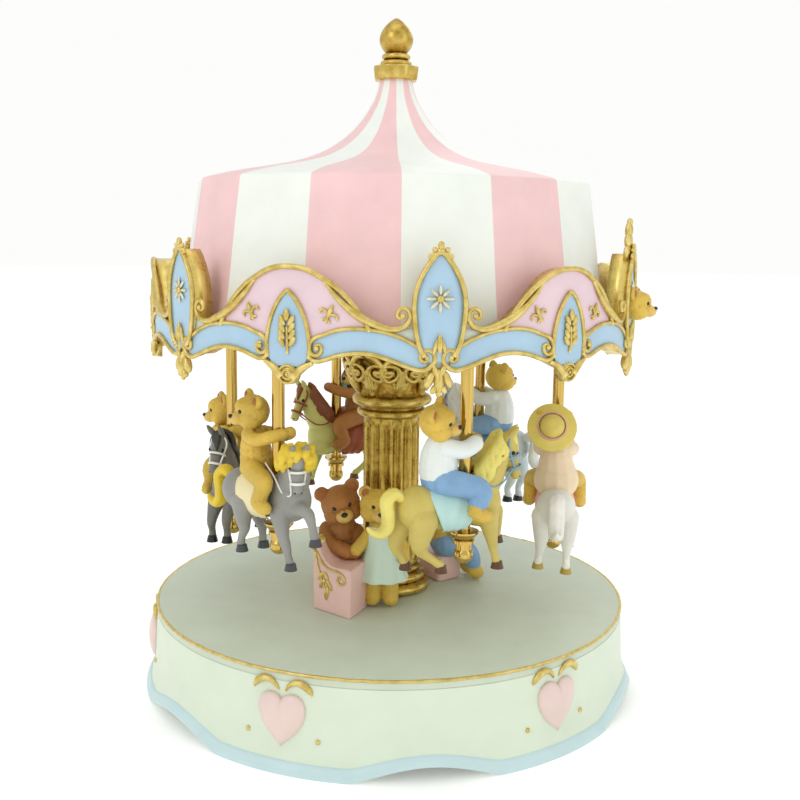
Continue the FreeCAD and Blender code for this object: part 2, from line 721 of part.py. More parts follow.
def standing_bear(x, y, facing, height, skirt):
    """Bear on its own feet at (x, y), facing the given angle round the deck."""
    k = height / 42.0
    pieces = limb([(0, 0, 15 * k, 7.0 * k), (0, 0, 23 * k, 6.0 * k)])
    pieces += limb([(0, 0, 33 * k, 7.4 * k), (0, -6.6 * k, 31.4 * k, 2.8 * k)])
    for side in (-1, 1):
        pieces.append(Part.makeSphere(2.5 * k, v(side * 5.8 * k, 0, 39.4 * k)))
        pieces += limb([(side * 5.5 * k, -1, 24 * k, 2.8 * k), (side * 7.5 * k, -5 * k, 17 * k, 2.5 * k)])
        pieces += limb([(side * 3.6 * k, 0, 11 * k, 3.4 * k), (side * 3.8 * k, 0, 3.4 * k, 3.4 * k)])
    if skirt:
        pieces.append(Part.makeCone(9.0 * k, 5.0 * k, 14 * k, v(0, 0, 11 * k)))
    bear = join(pieces)
    bear.rotate(v(0, 0, 0), Z_AXIS, facing)
    bear.translate(v(x, y, DECK_TOP))
    return bear


def pink_bench():
    return turned(block(-10, 10, -33, -20, DECK_TOP, DECK_TOP + 12), 127)


def sitting_bear(bench):
    """Bear sitting on the edge of the bench, feet out over the deck."""
    pieces = limb([(0, -26, 19, 6.6), (0, -25.5, 26, 5.6)])
    pieces += limb([(0, -26, 36, 7.0), (0, -32.4, 34.6, 2.7)])
    for side in (-1, 1):
        pieces.append(Part.makeSphere(2.4, v(side * 5.5, -25.6, 42.4)))
        pieces += limb([(side * 5, -26, 27, 2.7), (side * 7, -29, 20, 2.4)])
        pieces += limb([(side * 3.6, -29, 15.4, 3.3), (side * 4.2, -37.4, 13.0, 3.0),
                        (side * 4.2, -39, 3.4, 3.2)])
    bear = join(pieces)
    bear.translate(v(0, 0, DECK_TOP))
    return turned(bear, 110).cut(bench)


# ---- build ----

def build():
    os.makedirs("parts", exist_ok=True)
    core = skirt_core()
    save("base_skirt", base_skirt())
    save("deck_plate", deck_plate())
    save("deck_rim_bead", deck_rim_bead())
    save("heart_medallions", heart_medallions(core))
    save("gilt_crescents", gilt_crescents(core))
    save("gilt_beads", gilt_beads(core))
    save("bottom_cover", bottom_cover())
    save("cover_screws", cover_screws())

    save("movement_bedplate", movement_bedplate())
    save("movement_screws", movement_screws())
    save("movement_brackets", movement_brackets())
    save("music_comb", music_comb())
    save("spring_barrel", spring_barrel())
    save("mainspring", mainspring())
    save("winding_key", winding_key())
    save("music_cylinder", music_cylinder())
    save("governor_fan", governor_fan())

    save("column_foot", column_foot())
    save("column_shaft", column_shaft())
    save("column_capital", column_capital())
    save("centre_tube", centre_tube())
    save("cam_track", cam_track())

    inside = tent_inside()
    save("ceiling_disc", ceiling_disc())
    save("pole_guides", pole_guides())
    save("tent_canopy", tent_canopy(inside))
    save("crown_hub", crown_hub(inside))
    save("drive_shaft", drive_shaft())
    save("valance", valance())
    save("bear_head_medallion", bear_head_medallion())
    save("finial_collar", finial_collar())
    save("finial", finial())

    for name, (_, _, long_ears) in MOUNTS.items():
        save("pole_" + name, set_on_ring(pole(), name))
        save("pole_cup_" + name, set_on_ring(pole_cup(), name))
        save("horse_" + name, set_on_ring(horse(long_ears), name))
        save("rider_" + name, set_on_ring(rider(name == "white"), name))

    booth = ticket_booth()
    bench = pink_bench()
    brown = largest(standing_bear(-20.5, -15.0, -25, 51, False).cut(booth).cut(column_foot()))
    dressed = largest(standing_bear(-2.5, -25.5, -8, 51, True).cut(booth).cut(brown).cut(column_foot()))
    save("ticket_booth", booth)
    save("brown_bear", brown)
    save("dress_bear", dressed)
    save("pink_bench", bench)
    save("sitting_bear", sitting_bear(bench))


build()
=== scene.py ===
import math
import random

import bmesh
import bpy
from mathutils import Matrix, Vector, noise


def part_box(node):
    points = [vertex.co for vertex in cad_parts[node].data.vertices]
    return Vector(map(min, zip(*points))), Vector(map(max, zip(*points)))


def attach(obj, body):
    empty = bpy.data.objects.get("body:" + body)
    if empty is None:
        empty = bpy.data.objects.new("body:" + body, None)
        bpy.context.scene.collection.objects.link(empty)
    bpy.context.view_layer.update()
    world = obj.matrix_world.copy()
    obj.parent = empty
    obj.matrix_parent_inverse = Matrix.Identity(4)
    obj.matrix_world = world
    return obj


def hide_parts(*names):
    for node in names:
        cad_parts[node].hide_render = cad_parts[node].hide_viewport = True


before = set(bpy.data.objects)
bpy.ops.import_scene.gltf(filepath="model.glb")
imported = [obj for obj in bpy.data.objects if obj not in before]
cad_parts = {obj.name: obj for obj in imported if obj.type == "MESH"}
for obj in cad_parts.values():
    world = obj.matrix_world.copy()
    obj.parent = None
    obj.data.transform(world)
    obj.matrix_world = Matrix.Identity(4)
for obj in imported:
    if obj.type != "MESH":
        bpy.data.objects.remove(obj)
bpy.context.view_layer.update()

MM = 0.001

# ---------------------------------------------------------------- camera and room
# A lens a little above the deck, looking slightly down at the carousel from a
# short distance, in a pale room with broad soft lights all round.
EYE_DISTANCE = 440.9 * MM
EYE_HEIGHT = 188.6 * MM
LOOK_DOWN = math.radians(8.90)
LOOK_ASIDE = math.radians(0.45)
LEAN = math.radians(0.78)


def linear(colour, strength=1.0):
    """An sRGB hex colour as linear values for a shader socket."""
    parts = [int(colour[i:i + 2], 16) / 255 for i in (1, 3, 5)]
    parts = [p / 12.92 if p <= 0.04045 else ((p + 0.055) / 1.055) ** 2.4 for p in parts]
    return (*[p * strength for p in parts], 1.0)


def node(tree, kind, inputs=None, **settings):
    """Adds a shader node, sets its options and joins or sets its sockets."""
    made = tree.nodes.new(kind)
    for key, value in settings.items():
        setattr(made, key, value)
    for key, value in (inputs or {}).items():
        if isinstance(value, bpy.types.NodeSocket):
            tree.links.new(value, made.inputs[key])
        else:
            made.inputs[key].default_value = value
    return made


forward = Vector((math.sin(LOOK_ASIDE) * math.cos(LOOK_DOWN),
                  math.cos(LOOK_ASIDE) * math.cos(LOOK_DOWN), -math.sin(LOOK_DOWN)))
across = forward.cross(Vector((0, 0, 1))).normalized()
upward = across.cross(forward)
right = across * math.cos(LEAN) + upward * math.sin(LEAN)
top = upward * math.cos(LEAN) - across * math.sin(LEAN)
lens = bpy.data.cameras.new("camera")
lens.lens = 46.66
lens.sensor_width = 36.0
lens.clip_start = 0.02
camera = bpy.data.objects.new("camera", lens)
bpy.context.scene.collection.objects.link(camera)
camera.matrix_world = Matrix(((right.x, top.x, -forward.x, 0.0),
                              (right.y, top.y, -forward.y, -EYE_DISTANCE),
                              (right.z, top.z, -forward.z, EYE_HEIGHT),
                              (0.0, 0.0, 0.0, 1.0)))
bpy.context.scene.camera = camera
bpy.context.scene.view_settings.view_transform = "Standard"

sky = bpy.data.worlds.new("pale_room")
sky.use_nodes = True
sky_tree = sky.node_tree
daylight = sky_tree.nodes["Background"]
daylight.inputs["Color"].default_value = linear("#f6f8f6")
daylight.inputs["Strength"].default_value = 0.92
# the room seen behind is a lighter tone of the same light
backdrop = node(sky_tree, "ShaderNodeBackground", {"Color": linear("#fdfdfc"), "Strength": 1.0})
seen = node(sky_tree, "ShaderNodeLightPath")
blend_room = node(sky_tree, "ShaderNodeMixShader", {0: seen.outputs["Is Camera Ray"],
                                                    1: daylight.outputs["Background"],
                                                    2: backdrop.outputs["Background"]})
sky_tree.links.new(blend_room.outputs["Shader"], sky_tree.nodes["World Output"].inputs["Surface"])
bpy.context.scene.world = sky

# name, place in metres, width, height, watts
LIGHTS = (("key", (-0.75, -0.85, 0.85), 0.55, 0.8, 2.2),
          ("fill", (0.95, -0.55, 0.45), 0.5, 0.9, 0.9),
          ("back", (0.35, 0.95, 0.75), 0.7, 0.5, 0.8),
          ("over", (0.0, -0.1, 1.15), 0.7, 0.7, 0.8))
for name, place, width, height, watts in LIGHTS:
    lamp = bpy.data.lights.new(name, "AREA")
    lamp.shape = "RECTANGLE"
    lamp.size = width
    lamp.size_y = height
    lamp.energy = watts
    holder = bpy.data.objects.new(name, lamp)
    bpy.context.scene.collection.objects.link(holder)
    aim = Vector((0, 0, 0.13)) - Vector(place)
    holder.matrix_world = Matrix.Translation(place) @ aim.to_track_quat("-Z", "Y").to_matrix().to_4x4()

ground = bmesh.new()
bmesh.ops.create_circle(ground, cap_ends=True, segments=96, radius=6.0)
ground_mesh = bpy.data.meshes.new("floor")
ground.to_mesh(ground_mesh)
ground.free()
floor = bpy.data.objects.new("floor", ground_mesh)
bpy.context.scene.collection.objects.link(floor)
floor_paint = bpy.data.materials.new("floor_paint")
floor_paint.use_nodes = True
floor_shader = floor_paint.node_tree.nodes["Principled BSDF"]
floor_shader.inputs["Base Color"].default_value = linear("#fbfbfa")
floor_shader.inputs["Roughness"].default_value = 0.9
floor_shader.inputs["Emission Color"].default_value = linear("#fdfdfc")
floor_shader.inputs["Emission Strength"].default_value = 0.22
floor.data.materials.append(floor_paint)


# ---------------------------------------------------------------- finishes shared by the painted resin
# The whole ornament is cast polyresin, painted by hand: thin acrylic over a white ground and a satin
# varnish. The hollows darken towards a wash colour, which gives a brown wash and painted shade.

def object_place(tree):
    return node(tree, "ShaderNodeTexCoord").outputs["Object"]


def painted_resin(name, paint, wash_and_shade, wash_and_shade_amount=0.55, mottle=0.06, roughness=0.46,
                  grain_mm=0.9, grain=0.05):
    """Acrylic on resin: uneven brushed coat, darker wash with painted shade in hollows, satin varnish."""
    material = bpy.data.materials.new(name)
    material.use_nodes = True
    tree = material.node_tree
    place = object_place(tree)
    shader = tree.nodes["Principled BSDF"]
    cloud = node(tree, "ShaderNodeTexNoise", {"Vector": place, "Scale": 1000 / 14.0, "Detail": 4.0,
                                              "Roughness": 0.55})
    shade = node(tree, "ShaderNodeMapRange", {"Value": cloud.outputs["Fac"], "From Min": 0.3,
                                              "From Max": 0.7, "To Min": 1 - mottle,
                                              "To Max": 1 + mottle * 0.4})
    coat = node(tree, "ShaderNodeVectorMath", {0: linear(paint)[:3], "Scale": shade.outputs["Result"]},
                operation="SCALE")
    # painted shade: where the surface curves inwards the coat darkens towards the wash colour
    edge = node(tree, "ShaderNodeNewGeometry")
    hollow = node(tree, "ShaderNodeMapRange", {"Value": edge.outputs["Pointiness"], "From Min": 0.5,
                                               "From Max": 0.42, "To Min": 0.0,
                                               "To Max": wash_and_shade_amount})
    mixed = node(tree, "ShaderNodeMix", {"Factor": hollow.outputs["Result"],
                                         "A": coat.outputs["Vector"], "B": linear(wash_and_shade)},
                 data_type="RGBA")
    tree.links.new(mixed.outputs["Result"], shader.inputs["Base Color"])
    speck = node(tree, "ShaderNodeTexNoise", {"Vector": place, "Scale": 1000 / grain_mm, "Detail": 3.0})
    gloss = node(tree, "ShaderNodeMapRange", {"Value": cloud.outputs["Fac"], "To Min": roughness - 0.07,
                                              "To Max": roughness + 0.09})
    tree.links.new(gloss.outputs["Result"], shader.inputs["Roughness"])
    bump = node(tree, "ShaderNodeBump", {"Height": speck.outputs["Fac"], "Strength": grain,
                                         "Distance": 0.0004})
    tree.links.new(bump.outputs["Normal"], shader.inputs["Normal"])
    shader.inputs["IOR"].default_value = 1.5
    shader.inputs["Coat Weight"].default_value = 0.12
    shader.inputs["Coat Roughness"].default_value = 0.3
    shader.inputs["Subsurface Weight"].default_value = 0.06
    shader.inputs["Subsurface Radius"].default_value = (0.002, 0.0018, 0.0015)
    return material


def gilding(name, bright, mid, dark, roughness=0.34):
    """Gilt paint in uneven patches, with a painted highlight on ridges and painted umber shade in the
    hollows.
    """
    material = bpy.data.materials.new(name)
    material.use_nodes = True
    tree = material.node_tree
    place = object_place(tree)
    shader = tree.nodes["Principled BSDF"]
    edge = node(tree, "ShaderNodeNewGeometry")
    patch = node(tree, "ShaderNodeTexNoise", {"Vector": place, "Scale": 1000 / 3.2, "Detail": 5.0,
                                              "Roughness": 0.6})
    uneven = node(tree, "ShaderNodeMath", {0: patch.outputs["Fac"], 1: 0.5}, operation="SUBTRACT")
    # painted highlight and painted shade: pointiness lifts ridges to the bright colour and sinks hollows to
    # the dark one
    patches_and_painted_light = node(tree, "ShaderNodeMath", {0: uneven.outputs[0], 1: 0.22, 2: edge.outputs["Pointiness"]},
                operation="MULTIPLY_ADD")
    ramp = node(tree, "ShaderNodeValToRGB", {"Fac": patches_and_painted_light.outputs[0]})
    ramp.color_ramp.elements[0].position = 0.40
    ramp.color_ramp.elements[0].color = linear(dark)
    ramp.color_ramp.elements[1].position = 0.60
    ramp.color_ramp.elements[1].color = linear(bright)
    middle = ramp.color_ramp.elements.new(0.49)
    middle.color = linear(mid)
    tree.links.new(ramp.outputs["Color"], shader.inputs["Base Color"])
    rough = node(tree, "ShaderNodeMapRange", {"Value": patch.outputs["Fac"], "To Min": roughness - 0.1,
                                              "To Max": roughness + 0.14})
    tree.links.new(rough.outputs["Result"], shader.inputs["Roughness"])
    bump = node(tree, "ShaderNodeBump", {"Height": patch.outputs["Fac"], "Strength": 0.14,
                                         "Distance": 0.0006})
    tree.links.new(bump.outputs["Normal"], shader.inputs["Normal"])
    shader.inputs["Metallic"].default_value = 0.82
    return material


GILT = gilding("gilt_paint", "#ead48a", "#b79a3c", "#5f430f")
OLD_GOLD = gilding("antique_gold", "#ead07a", "#b8963c", "#5a3410", 0.27)
CREAM = painted_resin("cream_skirt_paint", "#d9e4d0", "#8f9472", 0.4, 0.035, 0.44)


def smooth_path(points, steps=6):
    """A smooth run through given points: each keeps all its numbers."""
    run = []
    last = len(points) - 1
    for i in range(last):
        before = points[max(i - 1, 0)]
        start = points[i]
        end = points[i + 1]
        after = points[min(i + 2, last)]
        for k in range(steps):
            t = k / steps
            run.append(tuple(0.5 * (2 * b + (c - a) * t + (2 * a - 5 * b + 4 * c - d) * t * t
                                    + (3 * b - a - 3 * c + d) * t ** 3)
                             for a, b, c, d in zip(before, start, end, after)))
    run.append(tuple(points[-1]))
    return run


def piece(name, bm, materials, body, sharp=None):
    """Turns a bmesh in millimetres into a finished object that rides on a body."""
    bmesh.ops.scale(bm, verts=bm.verts, vec=(MM, MM, MM))
    mesh = bpy.data.meshes.new(name)
    bm.to_mesh(mesh)
    bm.free()
    for material in materials:
        mesh.materials.append(material)
    for polygon in mesh.polygons:
        polygon.use_smooth = True
    if sharp:
        mesh.set_sharp_from_angle(angle=math.radians(sharp))
    made = bpy.data.objects.new(name, mesh)
    bpy.context.scene.collection.objects.link(made)
    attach(made, body)
    return made


def turn_profile(points, steps=128):
    """Spins a (radius, height) outline about the centre line."""
    bm = bmesh.new()
    verts = [bm.verts.new((r, 0, z)) for r, z in points]
    edges = [bm.edges.new(pair) for pair in zip(verts[:-1], verts[1:])]
    bmesh.ops.spin(bm, geom=verts + edges, cent=(0, 0, 0), axis=(0, 0, 1), angle=2 * math.pi,
                   steps=steps, use_merge=True)
    bmesh.ops.remove_doubles(bm, verts=bm.verts, dist=0.0005)
    bmesh.ops.recalc_face_normals(bm, faces=bm.faces)
    return bm


# ---------------------------------------------------------------- skirt of the base
# Hollow cast ring under the deck: a nearly upright cream wall that flares to a hem
# cut in six shallow arches, with a raised pale blue band painted along the hem.
low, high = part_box("deck_plate")
DECK_R = high.x / MM
DECK_TOP = high.z / MM
WALL_TOP = low.z / MM
HEART_AT = -22.0
ARCH_AT = 8.0
ARCH_RISE = 6.5
ARCH_HALF = 15.5
TRIM = 4.6
AROUND = 216


def hem_height(angle):
    """Height of the hem's edge at an angle in degrees from the front."""
    away = (angle - ARCH_AT + 30.0) % 60.0 - 30.0
    if abs(away) > ARCH_HALF:
        return 0.0
    return ARCH_RISE * math.cos(math.pi / 2 * away / ARCH_HALF) ** 1.15


def wall_radius(z):
    """Outer radius of the skirt at a height over a level hem."""
    flare = max(0.0, 1.0 - z / 17.0)
    return DECK_R + 0.2 + 0.8 * min(1.0, (WALL_TOP - z) / 16.0) + 4.0 * flare ** 2.2


def shape_hem(bm):
    """Lifts the lower edge of a spun skirt into the arches, keeping the flare with it."""
    for vert in bm.verts:
        angle = math.degrees(math.atan2(vert.co.x, -vert.co.y))
        rise = hem_height(angle)
        vert.co.z = rise + vert.co.z * (WALL_TOP - rise) / WALL_TOP


outer = [(wall_radius(z), z) for z in [0, 0.8, 2, 4, 6, 8, 10, 12.5, 15, 18, 22, 27, WALL_TOP - 0.3]]
inner = [(DECK_R - 3.5, WALL_TOP), (DECK_R - 2.6, 16), (DECK_R - 1.2, 8), (DECK_R + 1.0, 0)]
skirt_bm = turn_profile(outer + [(DECK_R - 0.3, WALL_TOP)] + inner + [outer[0]], AROUND)
shape_hem(skirt_bm)
skirt = piece("skirt", skirt_bm, [CREAM], "root", sharp=35)
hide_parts("base_skirt")

HEM_BLUE = painted_resin("hem_blue_paint", "#c3dbdd", "#8fa79e", 0.4, 0.05, 0.42)
hem_outline = [(wall_radius(0) - 1.0, 0.0), (wall_radius(0) + 0.35, 0.0),
               (wall_radius(0.8) + 0.7, 0.9),
               (wall_radius(2) + 0.8, 2.0), (wall_radius(3.4) + 0.75, 3.4),
               (wall_radius(TRIM) + 0.45, TRIM - 0.2), (wall_radius(TRIM) - 0.8, TRIM + 0.2)]
trim_bm = turn_profile(hem_outline, AROUND)
shape_hem(trim_bm)
trim = piece("hem_band", trim_bm, [HEM_BLUE], "root", sharp=60)

# ---------------------------------------------------------------- deck
# Flat round platform let into the top of the skirt, matt grey-cream paint, with a
# thin gilt bead run round its edge.
DECK_PAINT = painted_resin("deck_paint", "#ccd5c2", "#98a084", 0.3, 0.05, 0.55, 0.7, 0.08)
deck_bm = turn_profile([(5.0, DECK_TOP), (40, DECK_TOP), (DECK_R - 1.4, DECK_TOP),
                        (DECK_R - 0.5, DECK_TOP - 0.25), (DECK_R, DECK_TOP - 0.9),
                        (DECK_R, WALL_TOP), (5.0, WALL_TOP), (5.0, DECK_TOP)], AROUND)
deck = piece("deck", deck_bm, [DECK_PAINT], "root", sharp=30)
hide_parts("deck_plate")

bead_bm = bmesh.new()
bmesh.ops.create_circle(bead_bm, cap_ends=False, segments=10, radius=0.62,
                        matrix=Matrix.Translation((DECK_R - 0.1, 0, DECK_TOP - 0.55))
                        @ Matrix.Rotation(math.pi / 2, 4, "X"))
bmesh.ops.spin(bead_bm, geom=bead_bm.verts[:] + bead_bm.edges[:], cent=(0, 0, 0), axis=(0, 0, 1),
               angle=2 * math.pi, steps=AROUND, use_merge=True)
bmesh.ops.remove_doubles(bead_bm, verts=bead_bm.verts, dist=0.0005)
for vert in bead_bm.verts:
    vert.co.z += noise.noise(vert.co * 0.35) * 0.22
bmesh.ops.recalc_face_normals(bead_bm, faces=bead_bm.faces)
rim_bead = piece("deck_bead", bead_bm, [GILT], "root")
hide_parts("deck_rim_bead")

# ---------------------------------------------------------------- hearts, leaves and beads on the skirt
# Six puffed pink hearts stand out of the wall, each under a pair of gilt comma
# leaves and between two gilt beads; all cast with the skirt and picked out by brush.
HEART_PINK = painted_resin("heart_paint", "#e6cdc6", "#a58a7c", 0.5, 0.07, 0.4)


def wrap(bm, radius, angle):
    """Bends flat work round the centre line: x runs round, -y is outwards, z is up."""
    start = math.radians(angle)
    for vert in bm.verts:
        across_arc, inward, height = vert.co
        turn = start + across_arc / radius
        out = radius - inward
        vert.co = Vector((out * math.sin(turn), -out * math.cos(turn), height))


def add_mesh(bm, other):
    """Moves all of one bmesh into another."""
    holder = bpy.data.meshes.new("part")
    other.to_mesh(holder)
    other.free()
    bm.from_mesh(holder)
    bpy.data.meshes.remove(holder)


def sixfold(bm_flat, radius, angle, count=6):
    """Wraps copies of flat work round the rim, sixty degrees apart."""
    whole = bmesh.new()
    for i in range(count):
        copy = bm_flat.copy()
        wrap(copy, radius, angle + 60.0 * i)
        add_mesh(whole, copy)
    bm_flat.free()
    return whole


def draw_line(bm, points, radius=1.0, steps=5, sides=3, closed=False):
    """A round cord through (x, y, z, thickness) points, added to a bmesh."""
    curve = bpy.data.curves.new("line", "CURVE")
    curve.dimensions = "3D"
    curve.bevel_depth = radius
    curve.bevel_resolution = sides
    curve.resolution_u = steps
    curve.use_fill_caps = True
    spline = curve.splines.new("BEZIER")
    spline.bezier_points.add(len(points) - 1)
    for knot, (x, y, z, thickness) in zip(spline.bezier_points, points):
        knot.co = (x, y, z)
        knot.radius = thickness
        knot.handle_left_type = knot.handle_right_type = "AUTO"
    spline.use_cyclic_u = closed
    holder = bpy.data.objects.new("line", curve)
    mesh = bpy.data.meshes.new_from_object(holder)
    bm.from_mesh(mesh)
    bpy.data.meshes.remove(mesh)
    bpy.data.objects.remove(holder)
    bpy.data.curves.remove(curve)


heart_bm = bmesh.new()
bmesh.ops.create_uvsphere(heart_bm, u_segments=40, v_segments=24, radius=1.0)
for vert in heart_bm.verts:
    x, y, z = vert.co
    vert.co = Vector((x * 9.2, y * 3.1, 17.5 + 8.9 * (z + 0.6 * abs(x) ** (2 / 3))))
hearts = piece("hearts", sixfold(heart_bm, wall_radius(18) + 0.2, HEART_AT), [HEART_PINK], "root")
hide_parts("heart_medallions")

leaf_bm = bmesh.new()
for side in (-1, 1):
    draw_line(leaf_bm, [(side * 1.3, -0.3, 29.4, 0.35), (side * 2.6, -0.5, 31.4, 0.75),
                        (side * 5.2, -0.6, 33.1, 1.1), (side * 8.2, -0.6, 32.7, 1.35),
                        (side * 10.4, -0.5, 30.9, 1.15), (side * 11.6, -0.3, 28.8, 0.3)],
              steps=6)
leaves = piece("comma_leaves", sixfold(leaf_bm, DECK_R + 0.2, HEART_AT), [GILT], "root")
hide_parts("gilt_crescents")

drop_bm = bmesh.new()
for side in (-1, 1):
    bmesh.ops.create_uvsphere(drop_bm, u_segments=14, v_segments=8, radius=0.95,
                              matrix=Matrix.Translation((side * 14.0, -0.1, 12.4)))
drops = piece("gilt_drops", sixfold(drop_bm, wall_radius(12.4), HEART_AT), [GILT], "root")
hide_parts("gilt_beads")

# ---------------------------------------------------------------- centre column
# Cast column in antique gold: stacked rings for a foot, a fluted shaft, two ring
# mouldings and a capital of leaves under eight scrolls. Painted brown shade darkens the flutes.
SHAFT_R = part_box("column_shaft")[1].x / MM
FOOT_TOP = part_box("column_shaft")[0].z / MM
NECK_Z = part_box("column_capital")[0].z / MM
CAPITAL_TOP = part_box("column_capital")[1].z / MM
FLUTES = 16


def half_round(radius, z0, z1, steps=8):
    """Points of a ring moulding that swells from radius between two heights."""
    mid = (z0 + z1) / 2
    half = (z1 - z0) / 2
    return [(radius + half * math.cos(math.pi * (i / steps - 0.5)),
             mid + half * math.sin(math.pi * (i / steps - 0.5))) for i in range(steps + 1)]


foot_profile = ([(6, DECK_TOP), (15.6, DECK_TOP)] + half_round(15.4, DECK_TOP + 0.2, DECK_TOP + 4.2)
                + [(15.0, DECK_TOP + 4.6)] + half_round(13.6, DECK_TOP + 4.8, DECK_TOP + 8.4)
                + [(13.0, DECK_TOP + 8.8)] + half_round(12.2, DECK_TOP + 9.0, DECK_TOP + 11.8)
                + [(12.6, DECK_TOP + 12.4), (12.4, FOOT_TOP + 0.4), (6, FOOT_TOP + 0.4)])
column_foot = piece("column_foot_rings", turn_profile(foot_profile, 96), [OLD_GOLD], "root", sharp=50)
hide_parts("column_foot")

shaft_bm = bmesh.new()
bmesh.ops.create_circle(shaft_bm, cap_ends=False, segments=FLUTES * 12, radius=SHAFT_R,
                        matrix=Matrix.Translation((0, 0, FOOT_TOP)))
levels = [0.0, 1.6, 3.4, 5.0] + [5.0 + 53.0 * i / 8 for i in range(1, 9)] + [59.6, 61.4, 63.0]
rings = [shaft_bm.edges[:]]
for level in levels[1:]:
    grown = bmesh.ops.extrude_edge_only(shaft_bm, edges=rings[-1])["geom"]
    for vert in [g for g in grown if isinstance(g, bmesh.types.BMVert)]:
        vert.co.z = FOOT_TOP + level
    rings.append([g for g in grown if isinstance(g, bmesh.types.BMEdge)])
for vert in shaft_bm.verts:
    height = vert.co.z - FOOT_TOP
    turn = math.atan2(vert.co.y, vert.co.x)
    wave = abs(math.sin(turn * FLUTES / 2))
    end = min(1.0, max(0.0, min(height - 1.4, 61.6 - height) / 3.0))
    depth = 1.5 * end * max(0.0, (wave - 0.38) / 0.62) ** 0.6
    vert.co.x *= (SHAFT_R - depth) / SHAFT_R
    vert.co.y *= (SHAFT_R - depth) / SHAFT_R
bmesh.ops.recalc_face_normals(shaft_bm, faces=shaft_bm.faces)
fluted_shaft = piece("fluted_shaft", shaft_bm, [OLD_GOLD], "root")
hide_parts("column_shaft")


def spiral(cx, cz, radius, turns, start, depth, thickness, sense=1):
    """Points of a scroll that winds in to (cx, cz), as (x, y, z, thickness)."""
    count = int(turns * 8) + 1
    points = []
    for i in range(count):
        t = i / (count - 1)
        angle = math.radians(start) + sense * 2 * math.pi * turns * t
        r = radius * (1 - t) ** 0.8 + 0.12 * radius
        points.append((cx + r * math.cos(angle), depth - 0.5 * t, cz + r * math.sin(angle),
                       thickness * (1 - 0.35 * t)))
    return points


bell_profile = ([(6, NECK_Z), (12.6, NECK_Z)] + half_round(13.4, NECK_Z + 0.4, NECK_Z + 3.6)
                + [(13.6, NECK_Z + 4.2), (13.6, NECK_Z + 5.0)]
                + half_round(15.0, NECK_Z + 5.2, NECK_Z + 9.4)
                + [(14.4, NECK_Z + 9.9), (13.9, NECK_Z + 12), (15.2, NECK_Z + 17),
                   (17.2, NECK_Z + 23), (19.0, NECK_Z + 28), (19.6, NECK_Z + 30),
                   (22.2, NECK_Z + 31.4), (22.8, NECK_Z + 33), (22.4, CAPITAL_TOP), (6, CAPITAL_TOP)])
capital_bm = turn_profile(bell_profile, 96)
ornament_bm = bmesh.new()
for i in range(8):
    flat = bmesh.new()
    # a volute on each side of a leaf, with its eye standing out
    for side in (-1, 1):
        scroll = spiral(side * 4.1, NECK_Z + 20.6, 3.6, 1.6, 90 - side * 120, -2.2, 0.95, -side)
        draw_line(flat, [(side * 0.9, -1.2, NECK_Z + 27.5, 1.3), (side * 3.6, -1.8, NECK_Z + 26.0, 1.2)]
                  + scroll[1:], steps=4, sides=2)
        bmesh.ops.create_uvsphere(flat, u_segments=12, v_segments=8, radius=1.15,
                                  matrix=Matrix.Translation((side * 4.1, -2.5, NECK_Z + 20.6)))
        draw_line(flat, [(side * 0.6, 0.2, NECK_Z + 10.8, 0.8), (side * 1.6, -0.5, NECK_Z + 13.6, 1.3),
                         (side * 2.8, -0.8, NECK_Z + 16.0, 1.0), (side * 4.2, -1.6, NECK_Z + 16.6, 0.5)],
                  steps=4, sides=2)
    draw_line(flat, [(0, 0.2, NECK_Z + 10.6, 1.3), (0, -1.0, NECK_Z + 14.0, 1.9),
                     (0, -1.8, NECK_Z + 18.5, 1.5), (0, -3.2, NECK_Z + 21.5, 0.5)], steps=4, sides=2)
    draw_line(flat, [(-5.6, -1.2, NECK_Z + 29.0, 0.9), (0, -1.9, NECK_Z + 29.4, 1.1),
                     (5.6, -1.2, NECK_Z + 29.0, 0.9)], steps=4, sides=2)
    for vert in flat.verts:
        # lean the relief with the bell, which widens upwards
        vert.co.y -= max(0.0, (vert.co.z - NECK_Z - 12) * 0.33)
    wrap(flat, 14.6, 45.0 * i + 12.0)
    add_mesh(ornament_bm, flat)
capital = piece("capital_bell", capital_bm, [OLD_GOLD], "root", sharp=50)
capital_scrolls = piece("capital_scrolls", ornament_bm, [OLD_GOLD], "root")
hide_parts("column_capital")

# ---------------------------------------------------------------- tent top
# Sixteen flat gores cast in one shell and painted in turn pink and white. The wall
# leans in to a crisp shoulder, and the roof sweeps up in a hollow curve to the neck.
PINK_STRIPE = painted_resin("pink_stripe_paint", "#f2c9ca", "#b98c86", 0.35, 0.07, 0.46, 1.2, 0.04)
WHITE_STRIPE = painted_resin("white_stripe_paint", "#f0f3ec", "#a9ab95", 0.35, 0.04, 0.46, 1.2, 0.04)
GORES = 16
GORE_AT = 1.7
EAVE_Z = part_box("tent_canopy")[0].z / MM
NECK_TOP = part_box("tent_canopy")[1].z / MM
wall = smooth_path([(90.0, EAVE_Z), (86.8, EAVE_Z + 20), (84.7, EAVE_Z + 35.5), (82.2, EAVE_Z + 52),
                    (81.2, EAVE_Z + 58.4)], 3)
roof = smooth_path([(81.2, EAVE_Z + 58.4), (75.5, EAVE_Z + 60.0), (65.8, EAVE_Z + 62.1),
                    (54.6, EAVE_Z + 64.1), (43.5, EAVE_Z + 66.4), (35.2, EAVE_Z + 69.0),
                    (28.3, EAVE_Z + 72.2), (21.4, EAVE_Z + 76.9), (15.9, EAVE_Z + 82.2),
                    (11.8, EAVE_Z + 87.8), (8.6, EAVE_Z + 93.6), (6.8, NECK_TOP)], 3)
tent_bm = turn_profile(wall + roof[1:], GORES)
bmesh.ops.rotate(tent_bm, verts=tent_bm.verts, cent=(0, 0, 0),
                 matrix=Matrix.Rotation(math.radians(GORE_AT - 90), 3, "Z"))
for face in tent_bm.faces:
    centre = face.calc_center_median()
    gore = int((math.degrees(math.atan2(centre.x, -centre.y)) - GORE_AT) % 360 // (360 / GORES))
    face.material_index = gore % 2
